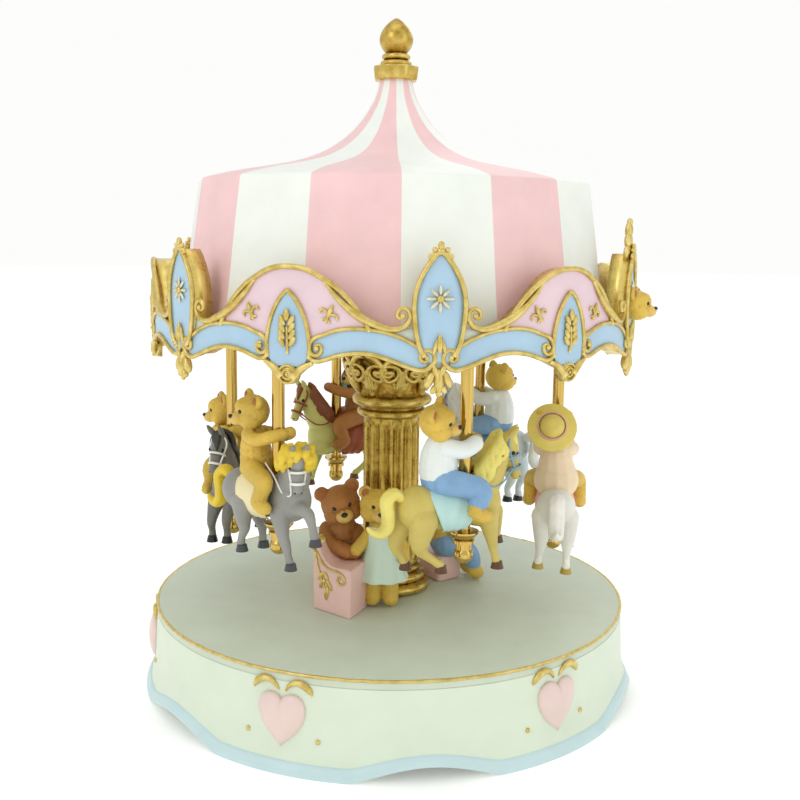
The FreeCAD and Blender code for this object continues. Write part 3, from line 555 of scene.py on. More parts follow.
ridges = [e for e in tent_bm.edges if len(e.link_faces) == 2 and e.calc_face_angle() > math.radians(5)]
bmesh.ops.bevel(tent_bm, geom=ridges, offset=0.7, offset_type="OFFSET", affect="EDGES", segments=2,
                profile=0.5, material=-1, clamp_overlap=True)
tent = piece("striped_tent", tent_bm, [WHITE_STRIPE, PINK_STRIPE], "canopy", sharp=25)
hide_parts("tent_canopy")

# ---------------------------------------------------------------- collar and finial
# Eight-sided gilt collar on the neck of the tent, two rings and an egg that ends in
# a point; turned shapes cast in resin and gilded.
COLLAR_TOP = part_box("finial_collar")[1].z / MM
TIP_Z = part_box("finial")[1].z / MM
collar_bm = bmesh.new()
bmesh.ops.create_cone(collar_bm, cap_ends=True, segments=8, radius1=9.2, radius2=9.9,
                      depth=COLLAR_TOP - NECK_TOP,
                      matrix=Matrix.Translation((0, 0, (COLLAR_TOP + NECK_TOP) / 2))
                      @ Matrix.Rotation(math.radians(22.5 + GORE_AT), 4, "Z"))
bmesh.ops.bevel(collar_bm, geom=collar_bm.edges[:], offset=0.7, offset_type="OFFSET", affect="EDGES",
                segments=3, profile=0.5, material=-1)
collar = piece("collar", collar_bm, [OLD_GOLD], "canopy", sharp=40)
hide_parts("finial_collar")

EGG_FOOT = COLLAR_TOP + 6.0
egg = []
for i in range(1, 25):
    t = i / 24
    egg.append((7.2 * math.sin(math.pi * (0.2 + 0.8 * t)) ** 0.72 * (1 - 0.12 * t),
                EGG_FOOT + (TIP_Z - EGG_FOOT) * t))
egg[-1] = (0.0, TIP_Z)
egg_bm = turn_profile([(0.0, COLLAR_TOP), (6.0, COLLAR_TOP)] + half_round(5.4, COLLAR_TOP, COLLAR_TOP + 2.2)
                      + [(4.9, COLLAR_TOP + 2.5)] + half_round(4.7, COLLAR_TOP + 2.7, COLLAR_TOP + 5.0)
                      + [(4.3, COLLAR_TOP + 5.3)] + egg, 64)
finial = piece("finial_egg", egg_bm, [OLD_GOLD], "canopy", sharp=60)
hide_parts("finial")

# ---------------------------------------------------------------- rounding board
# The ring under the tent, cast in relief and thick enough to show its gilded edge:
# mint ground, pink lunettes, blue ribbons, blue ogives and six tall blue cartouches.
RIM_R = 98.0
BOARD_T = 6.6
CARTOUCHE_AT = 9.0
OGIVE_AT = 39.0
HALF_STEP = RIM_R * math.pi / 6
MINT = painted_resin("mint_ground_paint", "#dbe4da", "#a3a888", 0.4, 0.05, 0.42)
PALE_PINK = painted_resin("lunette_pink_paint", "#e8cdd6", "#b08e8a", 0.4, 0.07, 0.42)
SKY_BLUE = painted_resin("ribbon_blue_paint", "#accbe2", "#7e8f92", 0.45, 0.07, 0.4)


def height_at(run, x):
    """Height of a smooth run of (distance, height) points at a distance."""
    for (x0, z0), (x1, z1) in zip(run[:-1], run[1:]):
        if x0 <= x <= x1:
            return z0 + (z1 - z0) * (x - x0) / max(x1 - x0, 1e-6)
    return run[0][1] if x < run[0][0] else run[-1][1]


def field(bm, bottom, top, x0, x1, depth, columns, rows=4, index=0):
    """A flat painted field between two runs, standing out by a depth."""
    made = bmesh.ops.create_grid(bm, x_segments=columns, y_segments=rows, size=1.0,
                                 matrix=Matrix.Rotation(math.pi / 2, 4, "X"))["verts"]
    for vert in made:
        x = x0 + (x1 - x0) * (vert.co.x + 1) / 2
        t = (vert.co.z + 1) / 2
        low_z = height_at(bottom, x)
        vert.co = Vector((x, -depth, low_z + (height_at(top, x) - low_z) * t))
    for face in {f for v in made for f in v.link_faces}:
        face.material_index = index


def plate(bm, widths, depth, rows=22, index=0):
    """A field bounded by a run of (height, half width) points, centred on x = 0."""
    made = bmesh.ops.create_grid(bm, x_segments=6, y_segments=rows, size=1.0,
                                 matrix=Matrix.Rotation(math.pi / 2, 4, "X"))["verts"]
    for vert in made:
        z = widths[0][0] + (widths[-1][0] - widths[0][0]) * (vert.co.z + 1) / 2
        vert.co = Vector((vert.co.x * height_at(widths, z), -depth, z))
    for face in {f for v in made for f in v.link_faces}:
        face.material_index = index


def ball(bm, centre, radii, tilt=0.0, axis="Y", segments=12):
    """An ellipsoid, tilted about one axis, added to a bmesh."""
    matrix = (Matrix.Translation(centre) @ Matrix.Rotation(math.radians(tilt), 4, axis)
              @ Matrix.Diagonal((*radii, 1.0)))
    bmesh.ops.create_uvsphere(bm, u_segments=segments, v_segments=max(6, segments * 2 // 3),
                              radius=1.0, matrix=matrix)


def mirrored(run):
    """A run of (distance, height) points on the other side of the middle."""
    return [(-x, z) for x, z in reversed(run)]


def board(name, bm, materials):
    """Finishes wrapped fields: welds the seams and gives the board its gilded thickness."""
    bmesh.ops.remove_doubles(bm, verts=bm.verts, dist=0.02)
    made = piece(name, bm, materials, "canopy", sharp=40)
    thick = made.modifiers.new("thickness", "SOLIDIFY")
    thick.thickness = BOARD_T * MM
    thick.offset = -1
    thick.material_offset = len(materials) - 1
    thick.material_offset_rim = len(materials) - 1
    return made


top_edge = smooth_path([(0, 159.4), (8, 159.4), (13, 158.9), (16.9, 158.6), (20.9, 159.6), (26.3, 162.4),
                        (32.7, 167.2), (37.5, 172.4), (41.5, 175.8), (46, 178.0), (HALF_STEP, 179.0)])
foot_edge = smooth_path([(0, 144.2), (4.5, 145.4), (10.1, 146.2), (16.1, 148.4), (23.9, 150.4),
                         (33.0, 149.9), (38.3, 148.4), (43.0, 146.6), (HALF_STEP, 143.2)])
ground_bm = bmesh.new()
field(ground_bm, foot_edge, top_edge, 0, HALF_STEP, 0.0, 36, 6)
flipped = bmesh.new()
field(flipped, mirrored(foot_edge), mirrored(top_edge), -HALF_STEP, 0, 0.0, 36, 6)
add_mesh(ground_bm, flipped)
mint_board = board("mint_board", sixfold(ground_bm, RIM_R, CARTOUCHE_AT), [MINT, OLD_GOLD])
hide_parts("valance")

ribbon_top = smooth_path([(9.2, 153.4), (12.8, 155.9), (18.6, 157.9), (28.0, 158.2), (36.9, 156.2),
                          (43.3, 153.2), (47.4, 150.4)])
ribbon_foot = smooth_path([(9.2, 147.5), (13.0, 148.2), (18.3, 149.8), (27.4, 150.6), (35.2, 148.6),
                           (41.2, 146.3), (47.4, 145.4)])
arch_half = [(0, 178.7), (6.3, 177.9), (12.7, 174.8), (17.0, 172.0), (20.7, 168.6), (24.3, 164.4),
             (26.8, 160.8), (28.4, 157.8)]
arch_run = smooth_path(arch_half)
ogive_widths = smooth_path([(145.2, 5.6), (150.5, 7.9), (155.5, 7.5), (161.4, 6.1), (167.0, 3.3),
                            (169.6, 1.3), (170.4, 0.2)])
lunette_foot = [(0.0, 153.0), (9.0, 153.2)] + ribbon_top[1:]
painted_bm = bmesh.new()
for side in (-1, 1):
    for foot, head, x0, x1, depth, index in ((lunette_foot, arch_run, 0.0, 28.2, 0.25, 0),
                                            (ribbon_foot, ribbon_top, 9.2, 47.4, 0.5, 1)):
        if side > 0:
            field(painted_bm, foot, head, x0, x1, depth, 22, 4, index)
        else:
            field(painted_bm, mirrored(foot), mirrored(head), -x1, -x0, depth, 22, 4, index)
plate(painted_bm, ogive_widths, 0.9, index=1)
fields = piece("painted_fields", sixfold(painted_bm, RIM_R, OGIVE_AT), [PALE_PINK, SKY_BLUE], "canopy")

cartouche_widths = smooth_path([(147.6, 3.0), (150.5, 5.4), (155.0, 7.1), (161.0, 8.0), (167.5, 8.3),
                                (173.0, 7.3), (178.0, 5.0), (181.6, 2.5), (183.6, 0.3)])
cartouche_bm = bmesh.new()
plate(cartouche_bm, cartouche_widths, 1.3, rows=30)
cartouches = board("cartouches", sixfold(cartouche_bm, RIM_R, CARTOUCHE_AT), [SKY_BLUE, OLD_GOLD])
cartouches.modifiers["thickness"].thickness = 8.0 * MM

# ---------------------------------------------------------------- gilded relief on the rounding board
# Beads, scrolls and leaves cast with the board and gilded: rims round every field,
# swags that end in scrolls, fleurons, leaf sprigs, rosettes, star bursts and drops.
relief = bmesh.new()
draw_line(relief, [(-x, -0.7, z, 1.0) for x, z in reversed(arch_half[1:])]
          + [(x, -0.7, z, 1.0) for x, z in arch_half], 0.95, steps=4)
ogive_line = [(148.0, 7.6), (151.0, 8.0), (155.5, 7.6), (161.4, 6.2), (167.0, 3.5), (169.6, 1.4)]
draw_line(relief, [(-w, -1.1, z, 1.0) for z, w in ogive_line] + [(0, -1.1, 170.6, 1.0)]
          + [(w, -1.1, z, 1.0) for z, w in reversed(ogive_line)], 0.75, steps=4)
for side in (-1, 1):
    swag = [(12.6, 174.4, 0.5), (18.6, 167.6, 1.1), (25.0, 162.6, 1.55), (30.4, 160.0, 1.35),
            (34.6, 158.7, 1.1), (38.4, 159.0, 1.0), (40.9, 160.9, 0.95), (41.5, 163.6, 0.9),
            (39.8, 165.5, 0.85), (37.6, 164.5, 0.8), (37.6, 162.6, 0.75), (39.2, 162.4, 0.8)]
    draw_line(relief, [(side * x, -0.5 - 0.5 * t, z, t) for x, z, t in swag], 0.95, steps=5)
    ball(relief, (side * 39.1, -1.3, 163.1), (1.0, 0.9, 1.0))
    upper = [(47.0, 150.8, 0.9), (43.3, 153.4, 1.0), (36.9, 156.5, 1.0), (28.0, 158.4, 1.0),
             (18.6, 158.1, 1.0), (12.8, 156.2, 1.0), (9.6, 154.9, 1.1), (8.0, 152.4, 1.2),
             (8.6, 149.9, 1.2), (10.6, 149.3, 1.1), (12.0, 150.9, 1.0), (11.5, 152.7, 0.9),
             (10.1, 152.4, 0.9)]
    draw_line(relief, [(side * x, -0.9, z, t) for x, z, t in upper], 0.72, steps=4)
    ball(relief, (side * 10.5, -1.5, 151.7), (0.95, 0.9, 0.95))
    lower = [(7.6, 150.5, 0.8), (8.3, 148.2, 1.0), (10.4, 147.3, 1.0), (13.4, 147.9, 1.0),
             (18.3, 149.5, 1.0), (27.4, 150.3, 1.0), (35.2, 148.3, 1.0), (41.2, 146.0, 1.0),
             (45.8, 145.0, 1.1), (48.6, 146.3, 1.1), (49.9, 148.9, 1.1), (48.5, 151.4, 1.1),
             (46.2, 151.2, 1.0), (45.1, 149.3, 0.95), (46.4, 147.9, 0.9), (47.8, 148.9, 0.9)]
    draw_line(relief, [(side * x, -1.0, z, t) for x, z, t in lower], 0.8, steps=4)
    ball(relief, (side * 47.2, -1.6, 149.3), (0.9, 0.9, 0.9))
    # fleuron in the lunette, leaning outwards
    lean = math.radians(side * 24)
    for parts in ([(0, -3.0, 0.9), (0, -0.6, 1.0), (0, 1.2, 1.5), (0, 3.6, 0.25)],
                  [(0, -0.8, 0.6), (1.5, 0.5, 0.8), (2.9, 0.4, 0.8), (3.2, -1.0, 0.5)],
                  [(0, -0.8, 0.6), (-1.5, 0.5, 0.8), (-2.9, 0.4, 0.8), (-3.2, -1.0, 0.5)],
                  [(-1.5, -2.6, 0.5), (0, -1.9, 0.8), (1.5, -2.6, 0.5)]):
        turned = [(side * 14.6 + u * math.cos(lean) + w * math.sin(lean), -0.8,
                   163.2 - u * math.sin(lean) + w * math.cos(lean), t) for u, w, t in parts]
        draw_line(relief, turned, 0.62, steps=4)
    # bracket from the ribbon's end down to the rosette
    draw_line(relief, [(side * 9.0, -0.8, 146.6, 0.7), (side * 5.2, -1.0, 144.6, 1.3),
                       (side * 2.0, -1.0, 141.4, 1.4)], 1.1, steps=4)
draw_line(relief, [(0, -1.3, 149.4, 0.9), (0.2, -1.5, 153.0, 0.9), (0, -1.5, 158.5, 0.7)], 0.6, steps=4)
for i in range(4):
    for side in (-1, 1):
        ball(relief, (side * (2.0 - 0.12 * i), -1.7, 153.6 + 2.35 * i), (0.95, 0.75, 2.0), side * 30)
ball(relief, (0, -1.8, 162.6), (1.1, 0.85, 2.1))
bmesh.ops.create_cone(relief, cap_ends=True, segments=28, radius1=3.7, radius2=3.4, depth=3.4,
                      matrix=Matrix.Translation((0, 0.2, 142.4)) @ Matrix.Rotation(math.pi / 2, 4, "X"))
draw_line(relief, [(3.0 * math.cos(a), -1.6, 142.4 + 3.0 * math.sin(a), 1.0)
                   for a in [k * math.pi / 4 for k in range(8)]], 0.45, steps=4, closed=True)
draw_line(relief, [(1.5 * math.cos(a), -1.7, 142.4 + 1.5 * math.sin(a), 1.0)
                   for a in [k * math.pi / 3 for k in range(6)]], 0.4, steps=4, closed=True)
ball(relief, (0, -1.7, 142.4), (0.6, 0.6, 0.6))
arches = piece("gilded_arches", sixfold(relief, RIM_R, OGIVE_AT), [GILT], "canopy")

crest = bmesh.new()
side_line = [(149.6, 4.9), (151.8, 6.2), (156.0, 7.5), (161.5, 8.25), (167.5, 8.5), (173.0, 7.5),
             (178.0, 5.2), (181.6, 2.7)]
draw_line(crest, [(-w, -1.7, z, 1.0) for z, w in side_line] + [(0, -1.7, 183.9, 1.0)]
          + [(w, -1.7, z, 1.0) for z, w in reversed(side_line)], 0.85, steps=4)
ball(crest, (0, -1.5, 186.2), (1.15, 1.0, 1.5))
ball(crest, (0, -1.2, 184.6), (1.6, 1.2, 0.9))
for side in (-1, 1):
    ball(crest, (side * 2.1, -1.5, 184.9), (0.9, 0.9, 0.95), side * 30)
    draw_line(crest, [(side * 0.6, -1.5, 183.8, 0.9), (side * 2.4, -1.6, 183.4, 1.0),
                      (side * 3.6, -1.6, 182.4, 0.9), (side * 3.5, -1.6, 183.6, 0.7)], 0.75, steps=4)
    ball(crest, (side * 1.45, -1.9, 152.9), (0.75, 0.8, 2.7), -side * 14)
    ball(crest, (side * 2.9, -0.6, 141.9), (1.5, 1.7, 3.3), -side * 22)
    ball(crest, (side * 1.2, -1.4, 144.8), (1.0, 1.1, 2.2), side * 20)
    ball(crest, (side * 1.6, -0.9, 138.6), (1.1, 1.3, 1.8), -side * 30)
ball(crest, (0, -2.2, 154.0), (1.0, 0.9, 3.3))
ball(crest, (0, -0.9, 141.4), (1.7, 2.1, 4.2))
ball(crest, (0, -0.9, 137.4), (1.0, 1.1, 1.6))
ball(crest, (0, -2.1, 168.8), (1.25, 0.9, 1.25))
crests = piece("gilded_crests", sixfold(crest, RIM_R, CARTOUCHE_AT), [GILT], "canopy")

SILVER_GILT = gilding("silver_gilt_rays", "#eee9cf", "#c9c29c", "#7c7450", 0.38)
rays = bmesh.new()
for k in range(8):
    angle = math.radians(45 * k)
    reach = 2.7 if k % 2 else 2.95
    ball(rays, (reach * math.sin(angle), -1.9, 168.8 + reach * math.cos(angle)), (0.62, 0.5, 1.75),
         45 * k)
star_rays = piece("star_rays", sixfold(rays, RIM_R, CARTOUCHE_AT), [SILVER_GILT], "canopy")

# ---------------------------------------------------------------- poles and ball cups
# Polished brass rod of 3/16 inch with a turned brass cup under each horse and a
# ball on its end; drawn and buffed, so the shine is drawn out along the rod.


def drawn_finish(name, dark, bright, smooth_end, rough_end, metal, grain_mm):
    """A plain finish whose tone and shine vary along a grain of (x, y, z) sizes."""
    material = bpy.data.materials.new(name)
    material.use_nodes = True
    tree = material.node_tree
    shader = tree.nodes["Principled BSDF"]
    place = node(tree, "ShaderNodeMapping", {"Vector": object_place(tree),
                                             "Scale": [1000 / size for size in grain_mm]})
    grain = node(tree, "ShaderNodeTexNoise", {"Vector": place.outputs["Vector"], "Scale": 1.0,
                                              "Detail": 4.0})
    tone = node(tree, "ShaderNodeMix", {"Factor": grain.outputs["Fac"], "A": linear(dark),
                                        "B": linear(bright)}, data_type="RGBA")
    rough = node(tree, "ShaderNodeMapRange", {"Value": grain.outputs["Fac"], "To Min": smooth_end,
                                              "To Max": rough_end})
    tree.links.new(tone.outputs["Result"], shader.inputs["Base Color"])
    tree.links.new(rough.outputs["Result"], shader.inputs["Roughness"])
    shader.inputs["Metallic"].default_value = metal
    return material


def cover(part, material):
    """Gives a part that keeps its own shape its material."""
    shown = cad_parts[part]
    shown.data.materials.clear()
    shown.data.materials.append(material)


POLISHED_BRASS = drawn_finish("polished_brass_rod", "#b08a34", "#e6c878", 0.1, 0.24, 1.0, (0.5, 0.5, 40))
for beast in ("palomino", "white", "blue", "cream", "dark", "grey"):
    cover("pole_" + beast, POLISHED_BRASS)
    cover("pole_cup_" + beast, POLISHED_BRASS)

# ---------------------------------------------------------------- golden bear's head on the rim
# One cartouche carries a bear's head cast in the round, with rounded ears, a short
# muzzle and painted eyes and nose. Resin, textured as fur, washed with brown and darkened with painted shade
# in the hollows.
FUR_GOLD = painted_resin("golden_fur_paint", "#dfbb4c", "#70460f", 0.8, 0.2, 0.6, 0.55, 0.75)
FUR_BROWN = painted_resin("brown_fur_paint", "#b87a38", "#4a250b", 0.8, 0.25, 0.6, 0.55, 0.75)
MUZZLE_TAN = painted_resin("muzzle_paint", "#e0bb66", "#7d5220", 0.6, 0.12, 0.55, 0.5, 0.4)
BLACK_PAINT = painted_resin("black_paint", "#17130f", "#050403", 0.2, 0.05, 0.18, 0.9, 0.0)
EAR_LINING = painted_resin("ear_lining_paint", "#b06a34", "#5a2a10", 0.6, 0.15, 0.6, 0.5, 0.4)


def round_form(segments):
    """Corners and faces of a unit ball, kept so that hundreds can be laid quickly."""
    made = bmesh.new()
    bmesh.ops.create_uvsphere(made, u_segments=segments, v_segments=segments * 2 // 3, radius=1.0)
    made.verts.index_update()
    corners = [vert.co.copy() for vert in made.verts]
    faces = [[vert.index for vert in face.verts] for face in made.faces]
    made.free()
    return corners, faces


ROUND = round_form(12)


def balls(bm, points, steps=5):
    """A limb through (x, y, z, radius) points, packed closely with balls."""
    corners, faces = ROUND
    last = None
    for x, y, z, radius in smooth_path(points, steps):
        here = Vector((x, y, z))
        if last is None or (here - last).length > radius * 0.22:
            new = [bm.verts.new(here + radius * corner) for corner in corners]
            for face in faces:
                bm.faces.new([new[i] for i in face])
            last = here


def sculpt(name, bm, materials, body, place, voxel=0.5, fur=0.0, fur_mm=1.3, soften=5):
    """Fuses overlapping balls into one skin, then presses a fur grain into it."""
    bm.transform(place)
    made = piece(name, bm, materials, body)
    fuse = made.modifiers.new("fuse", "REMESH")
    fuse.mode = "VOXEL"
    fuse.voxel_size = voxel * MM
    soft = made.modifiers.new("soften", "SMOOTH")
    soft.factor = 0.5
    soft.iterations = soften
    fused = bpy.data.meshes.new_from_object(made.evaluated_get(bpy.context.evaluated_depsgraph_get()))
    made.modifiers.clear()
    made.data = fused
    if fur:
        normals = [vert.normal.copy() for vert in fused.vertices]
        for vert, normal in zip(fused.vertices, normals):
            at = vert.co / (fur_mm * MM)
            press = noise.noise(at) + 0.5 * noise.noise(at * 2.3)
            vert.co += normal * (press * fur * MM)
    for polygon in fused.polygons:
        polygon.use_smooth = True
    return made


def head_place(centre, yaw, tilt=0.0, nod=0.0):
    """Frame of a bear's head: +X along the muzzle, +Z through the crown."""
    return (Matrix.Translation(centre) @ Matrix.Rotation(math.radians(yaw), 4, "Z")
            @ Matrix.Rotation(math.radians(tilt), 4, "X") @ Matrix.Rotation(math.radians(nod), 4, "Y"))


def bear_head(bm, place, size=1.0):
    """Skull, cheeks, brow and round ears of a bear, into the body's own mesh."""
    made = bmesh.new()
    for centre, radii in (((-0.4, 0, 0.6), (6.5, 6.9, 6.3)), ((1.6, 3.0, -2.0), (4.4, 3.8, 3.7)),
                          ((1.6, -3.0, -2.0), (4.4, 3.8, 3.7)), ((2.4, 0, 2.2), (4.2, 4.6, 3.8)),
                          ((-0.8, 5.4, 5.4), (1.7, 2.7, 2.7)), ((-0.8, -5.4, 5.4), (1.7, 2.7, 2.7)),
                          ((5.6, 0, -1.9), (3.1, 3.0, 2.5))):
        ball(made, centre, radii, segments=20)
    made.transform(place @ Matrix.Scale(size, 4))
    add_mesh(bm, made)


def bear_face(name, body, place, size=1.0):
    """Painted muzzle, eyes, nose, mouth and ear linings, standing just off the fur."""
    spots = bmesh.new()
    ball(spots, (8.4, 0, -0.7), (0.95, 1.2, 0.85))
    ball(spots, (5.35, 2.55, 1.45), (0.8, 0.85, 0.9))
    ball(spots, (5.35, -2.55, 1.45), (0.8, 0.85, 0.9))
    draw_line(spots, [(8.75, 0, -1.2, 1), (8.6, 0, -2.2, 1)], 0.16)
    draw_line(spots, [(7.9, 1.5, -3.0, 1), (8.45, 0.6, -2.7, 1), (8.6, 0, -2.2, 1),
                      (8.45, -0.6, -2.7, 1), (7.9, -1.5, -3.0, 1)], 0.16)
    spots.transform(place @ Matrix.Scale(size, 4))
    piece(name + "_eyes_and_nose", spots, [BLACK_PAINT], body)
    soft = bmesh.new()
    ball(soft, (5.75, 0, -1.95), (3.15, 3.05, 2.5), segments=20)
    soft.transform(place @ Matrix.Scale(size, 4))
    piece(name + "_muzzle", soft, [MUZZLE_TAN], body)
    lining = bmesh.new()
    for side in (-1, 1):
        ball(lining, (0.35, side * 5.4, 5.5), (0.8, 1.75, 1.75), segments=14)
    lining.transform(place @ Matrix.Scale(size, 4))
    piece(name + "_ear_linings", lining, [EAR_LINING], body)


medallion_bm = bmesh.new()
rim_turn = Matrix.Rotation(math.radians(CARTOUCHE_AT + 60), 4, "Z")
medallion_at = rim_turn @ head_place((0, -101.2, 163.5), -90)
bear_head(medallion_bm, medallion_at, 0.92)
medallion = sculpt("rim_bear_head", medallion_bm, [FUR_GOLD], "canopy", Matrix(), 0.4, 0.16)
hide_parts("bear_head_medallion")
bear_face("rim_bear", "canopy", medallion_at, 0.92)
tall_crest = bmesh.new()
for z, width in ((184.0, 5.6), (188.5, 4.2), (192.5, 2.6)):
    ball(tall_crest, (0, 0.6, z), (width, 1.6, 3.4))
ball(tall_crest, (0, 0.4, 195.6), (1.3, 1.2, 1.7))
crest_mesh = sixfold(tall_crest, RIM_R, CARTOUCHE_AT + 60, count=1)
piece("tall_crest", crest_mesh, [GILT], "canopy")

# ---------------------------------------------------------------- six leaping horses
# Cast resin horses on their poles: each skin is fused from muscle shapes and painted
# in its own coat; manes, tails, hooves and harness are separate painted forms.


def ring_place(beast):
    """Frame of a horse: origin at the foot of its pole, +X the way it heads, -Y outwards."""
    low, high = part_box("pole_cup_" + beast)
    x, y = (low.x + high.x) / 2 / MM, (low.y + high.y) / 2 / MM
    return (Matrix.Translation((x, y, low.z / MM))
            @ Matrix.Rotation(math.atan2(x, -y), 4, "Z"))


def horse_head(place, long_ears):
    """Skull, cheek, tapering face and muzzle with +X along the face."""
    made = bmesh.new()
    for centre, radii in (((0, 0, 0), (4.4, 3.5, 4.0)), ((3.0, 0, -1.3), (4.0, 3.1, 3.7)),
                          ((1.6, 0, 1.4), (3.6, 2.6, 2.6)), ((6.8, 0, -0.4), (4.2, 2.2, 2.5)),
                          ((10.4, 0, -0.5), (3.0, 2.05, 2.2)), ((12.6, 0, -0.8), (1.9, 2.15, 2.1)),
                          ((3.2, 2.5, 0.9), (1.6, 0.9, 1.1)), ((3.2, -2.5, 0.9), (1.6, 0.9, 1.1))):
        ball(made, centre, radii, segments=18)
    ear = 7.0 if long_ears else 4.4
    for side in (-1, 1):
        balls(made, [(-2.2, side * 1.9, 2.2, 1.2), (-3.4, side * 2.5, 2.6 + ear * 0.4, 1.35),
                     (-4.6, side * 2.8, 2.4 + ear, 0.35)], 4)
    made.transform(place)
    return made


# each leg runs from the body to the hoof, as (x, y, z, radius)
FLAT_LEGS = {
    "near_fore": [(7.5, -4.6, 19, 4.4), (8.6, -5.0, 12.5, 2.9), (9.6, -5.0, 8, 2.1), (10.4, -5.0, 4, 1.5),
                  (11.3, -5.0, 1.2, 1.8)],
    "far_fore": [(8.5, 4.4, 19, 4.2), (13.5, 4.6, 18.5, 2.8), (16.6, 4.6, 18.0, 2.2), (17.0, 4.6, 12, 1.6),
                 (16.2, 4.6, 8.2, 1.8)],
    "near_hind": [(-19, -4.8, 19, 5.6), (-20.5, -5.2, 12, 3.8), (-20.0, -5.2, 8.5, 2.4),
                  (-15.5, -5.2, 4.6, 1.6), (-12.2, -5.2, 2.2, 1.8)],
    "far_hind": [(-21, 4.8, 19, 5.2), (-25.0, 5.0, 12, 3.4), (-26.0, 5.0, 8.0, 2.3), (-23.5, 5.0, 4.0, 1.6),
                 (-22.0, 5.0, 1.5, 1.8)],
}
GREY_LEGS = {
    "near_fore": [(5.0, -4.6, 18, 4.2), (6.5, -4.8, 10, 2.6), (8.2, -4.8, 5.5, 2.0), (9.2, -4.8, 2, 1.5),
                  (10.0, -4.8, -0.2, 1.8)],
    "far_fore": [(8, -1.5, 19.5, 3.8), (14.5, -3.5, 20.5, 2.8), (19.0, -4.2, 19.5, 2.3),
                 (21.0, -4.2, 14.5, 1.6), (21.8, -4.2, 11.2, 1.8)],
    "near_hind": [(-14, -4.8, 19, 5.0), (-13.5, -5.4, 12, 3.0), (-13.0, -5.4, 9.0, 2.2),
                  (-14.5, -5.4, 5.4, 1.6), (-15.0, -5.4, 2.6, 1.8)],
    "far_hind": [(-18, 4.8, 19, 5.0), (-16.0, 5.0, 12, 3.0), (-14.0, 5.0, 8.0, 2.2), (-13.5, 5.0, 4.5, 1.6),
                 (-13.5, 5.0, 2.0, 1.8)],
}
DOWN_LEGS = {
    "near_fore": [(7.5, -5.0, 18, 4.2), (9.5, -6.4, 11, 2.7), (10.5, -6.8, 7.5, 2.1), (9.0, -7.0, 4.0, 1.6),
                  (8.5, -7.0, 1.5, 1.8)],
    "far_fore": [(7.5, 2.6, 18, 4.2), (12.5, 1.2, 12.5, 2.7), (13.5, 0.8, 8.5, 2.1), (12.0, 0.6, 4.6, 1.6),
                 (11.0, 0.4, 2.0, 1.8)],
    "near_hind": [(-19, -4.4, 19, 5.4), (-21.5, -5.0, 12, 3.6), (-22.5, -5.0, 8.0, 2.4),
                  (-20.0, -5.0, 2.5, 1.6), (-20.5, -5.0, -1.5, 1.8)],
    "far_hind": [(-19, 4.8, 19, 5.2), (-21.5, 5.4, 12, 3.5), (-22.5, 5.8, 8.4, 2.4), (-20.5, 6.2, 3.5, 1.6),
                 (-21.5, 6.6, 0.5, 1.8)],
}

# coat, wash and painted shade colour, mane, hoof, legs, head (x, y, z, yaw, nod), long ears
HERD = {
    "palomino": ("#cdb95e", "#8a7a2c", "#e9da72", "#5a3416", FLAT_LEGS, (16.6, -0.6, 45.0, -24, 68), False),
    "white": ("#eceadf", "#a9a694", "#f2efe6", "#b39a3a", DOWN_LEGS, (15.5, -2.5, 46.0, -42, 62), False),
    "blue": ("#d3dde0", "#8795a0", "#eef1ee", "#1c1c1e", DOWN_LEGS, (16.6, 0, 45.0, 0, 62), False),
    "cream": ("#d9d884", "#8f8f3c", "#8a4a22", "#6b4a1e", FLAT_LEGS, (16.6, 0.6, 45.0, 16, 60), False),
    "dark": ("#76746c", "#2b2a28", "#33312e", "#121212", DOWN_LEGS, (15.8, -1.0, 44.6, -14, 62), True),
    "grey": ("#95948f", "#55544f", "#e8c832", "#3f4346", GREY_LEGS, (12.8, -3.6, 40.4, -36, 84), False),
}
HARNESS_WHITE = painted_resin("white_harness_paint", "#f0efe9", "#a8a596", 0.3, 0.04, 0.4)
HARNESS_BLUE = painted_resin("blue_harness_paint", "#7fa3bf", "#4c6474", 0.4, 0.06, 0.4)
HARNESS_BROWN = painted_resin("brown_harness_paint", "#a2502a", "#4f2410", 0.4, 0.08, 0.4)
LAVENDER = painted_resin("lavender_paint", "#cdbfe4", "#8a7fa4", 0.4, 0.05, 0.4)
CLOTH_AQUA = painted_resin("aqua_cloth_paint", "#b9dcd6", "#7aa39a", 0.45, 0.08, 0.5)
CLOTH_BLUE = painted_resin("blue_cloth_paint", "#6d9cc4", "#3c5d7e", 0.5, 0.12, 0.5)
CLOTH_PINK = painted_resin("pink_cloth_paint", "#eeb4b4", "#b07c78", 0.45, 0.08, 0.5)
CLOTH_CREAM = painted_resin("cream_cloth_paint", "#efe3b4", "#a8965e", 0.45, 0.08, 0.5)
BRIDLES = {"palomino": HARNESS_BLUE, "white": CLOTH_PINK, "blue": HARNESS_BLUE, "cream": HARNESS_BROWN,
           "dark": HARNESS_WHITE, "grey": HARNESS_WHITE}
BLANKETS = {"palomino": CLOTH_AQUA, "white": CLOTH_PINK, "blue": CLOTH_BLUE, "cream": HARNESS_BROWN,
            "dark": LAVENDER, "grey": CLOTH_CREAM}


def band(bm, section, width, radius, place, thick=0.5, steps=40):
    """A flat strap round a body section given by (y, z) half sizes, at a place."""
    loop = []
    for k in range(steps):
        angle = 2 * math.pi * k / steps
        loop.append((0, (section[0] + radius) * math.cos(angle), (section[1] + radius) * math.sin(angle)))
    rows = []
    for across, out in ((-width / 2, 0.0), (-width / 2, thick), (width / 2, thick), (width / 2, 0.0)):
        rows.append([bm.verts.new(place @ Vector((across, y * (1 + out / section[0]),
                                                  z * (1 + out / section[1])))) for _, y, z in loop])
    for a, b in zip(rows, rows[1:] + rows[:1]):
        for k in range(steps):
            bm.faces.new((a[k], a[(k + 1) % steps], b[(k + 1) % steps], b[k]))


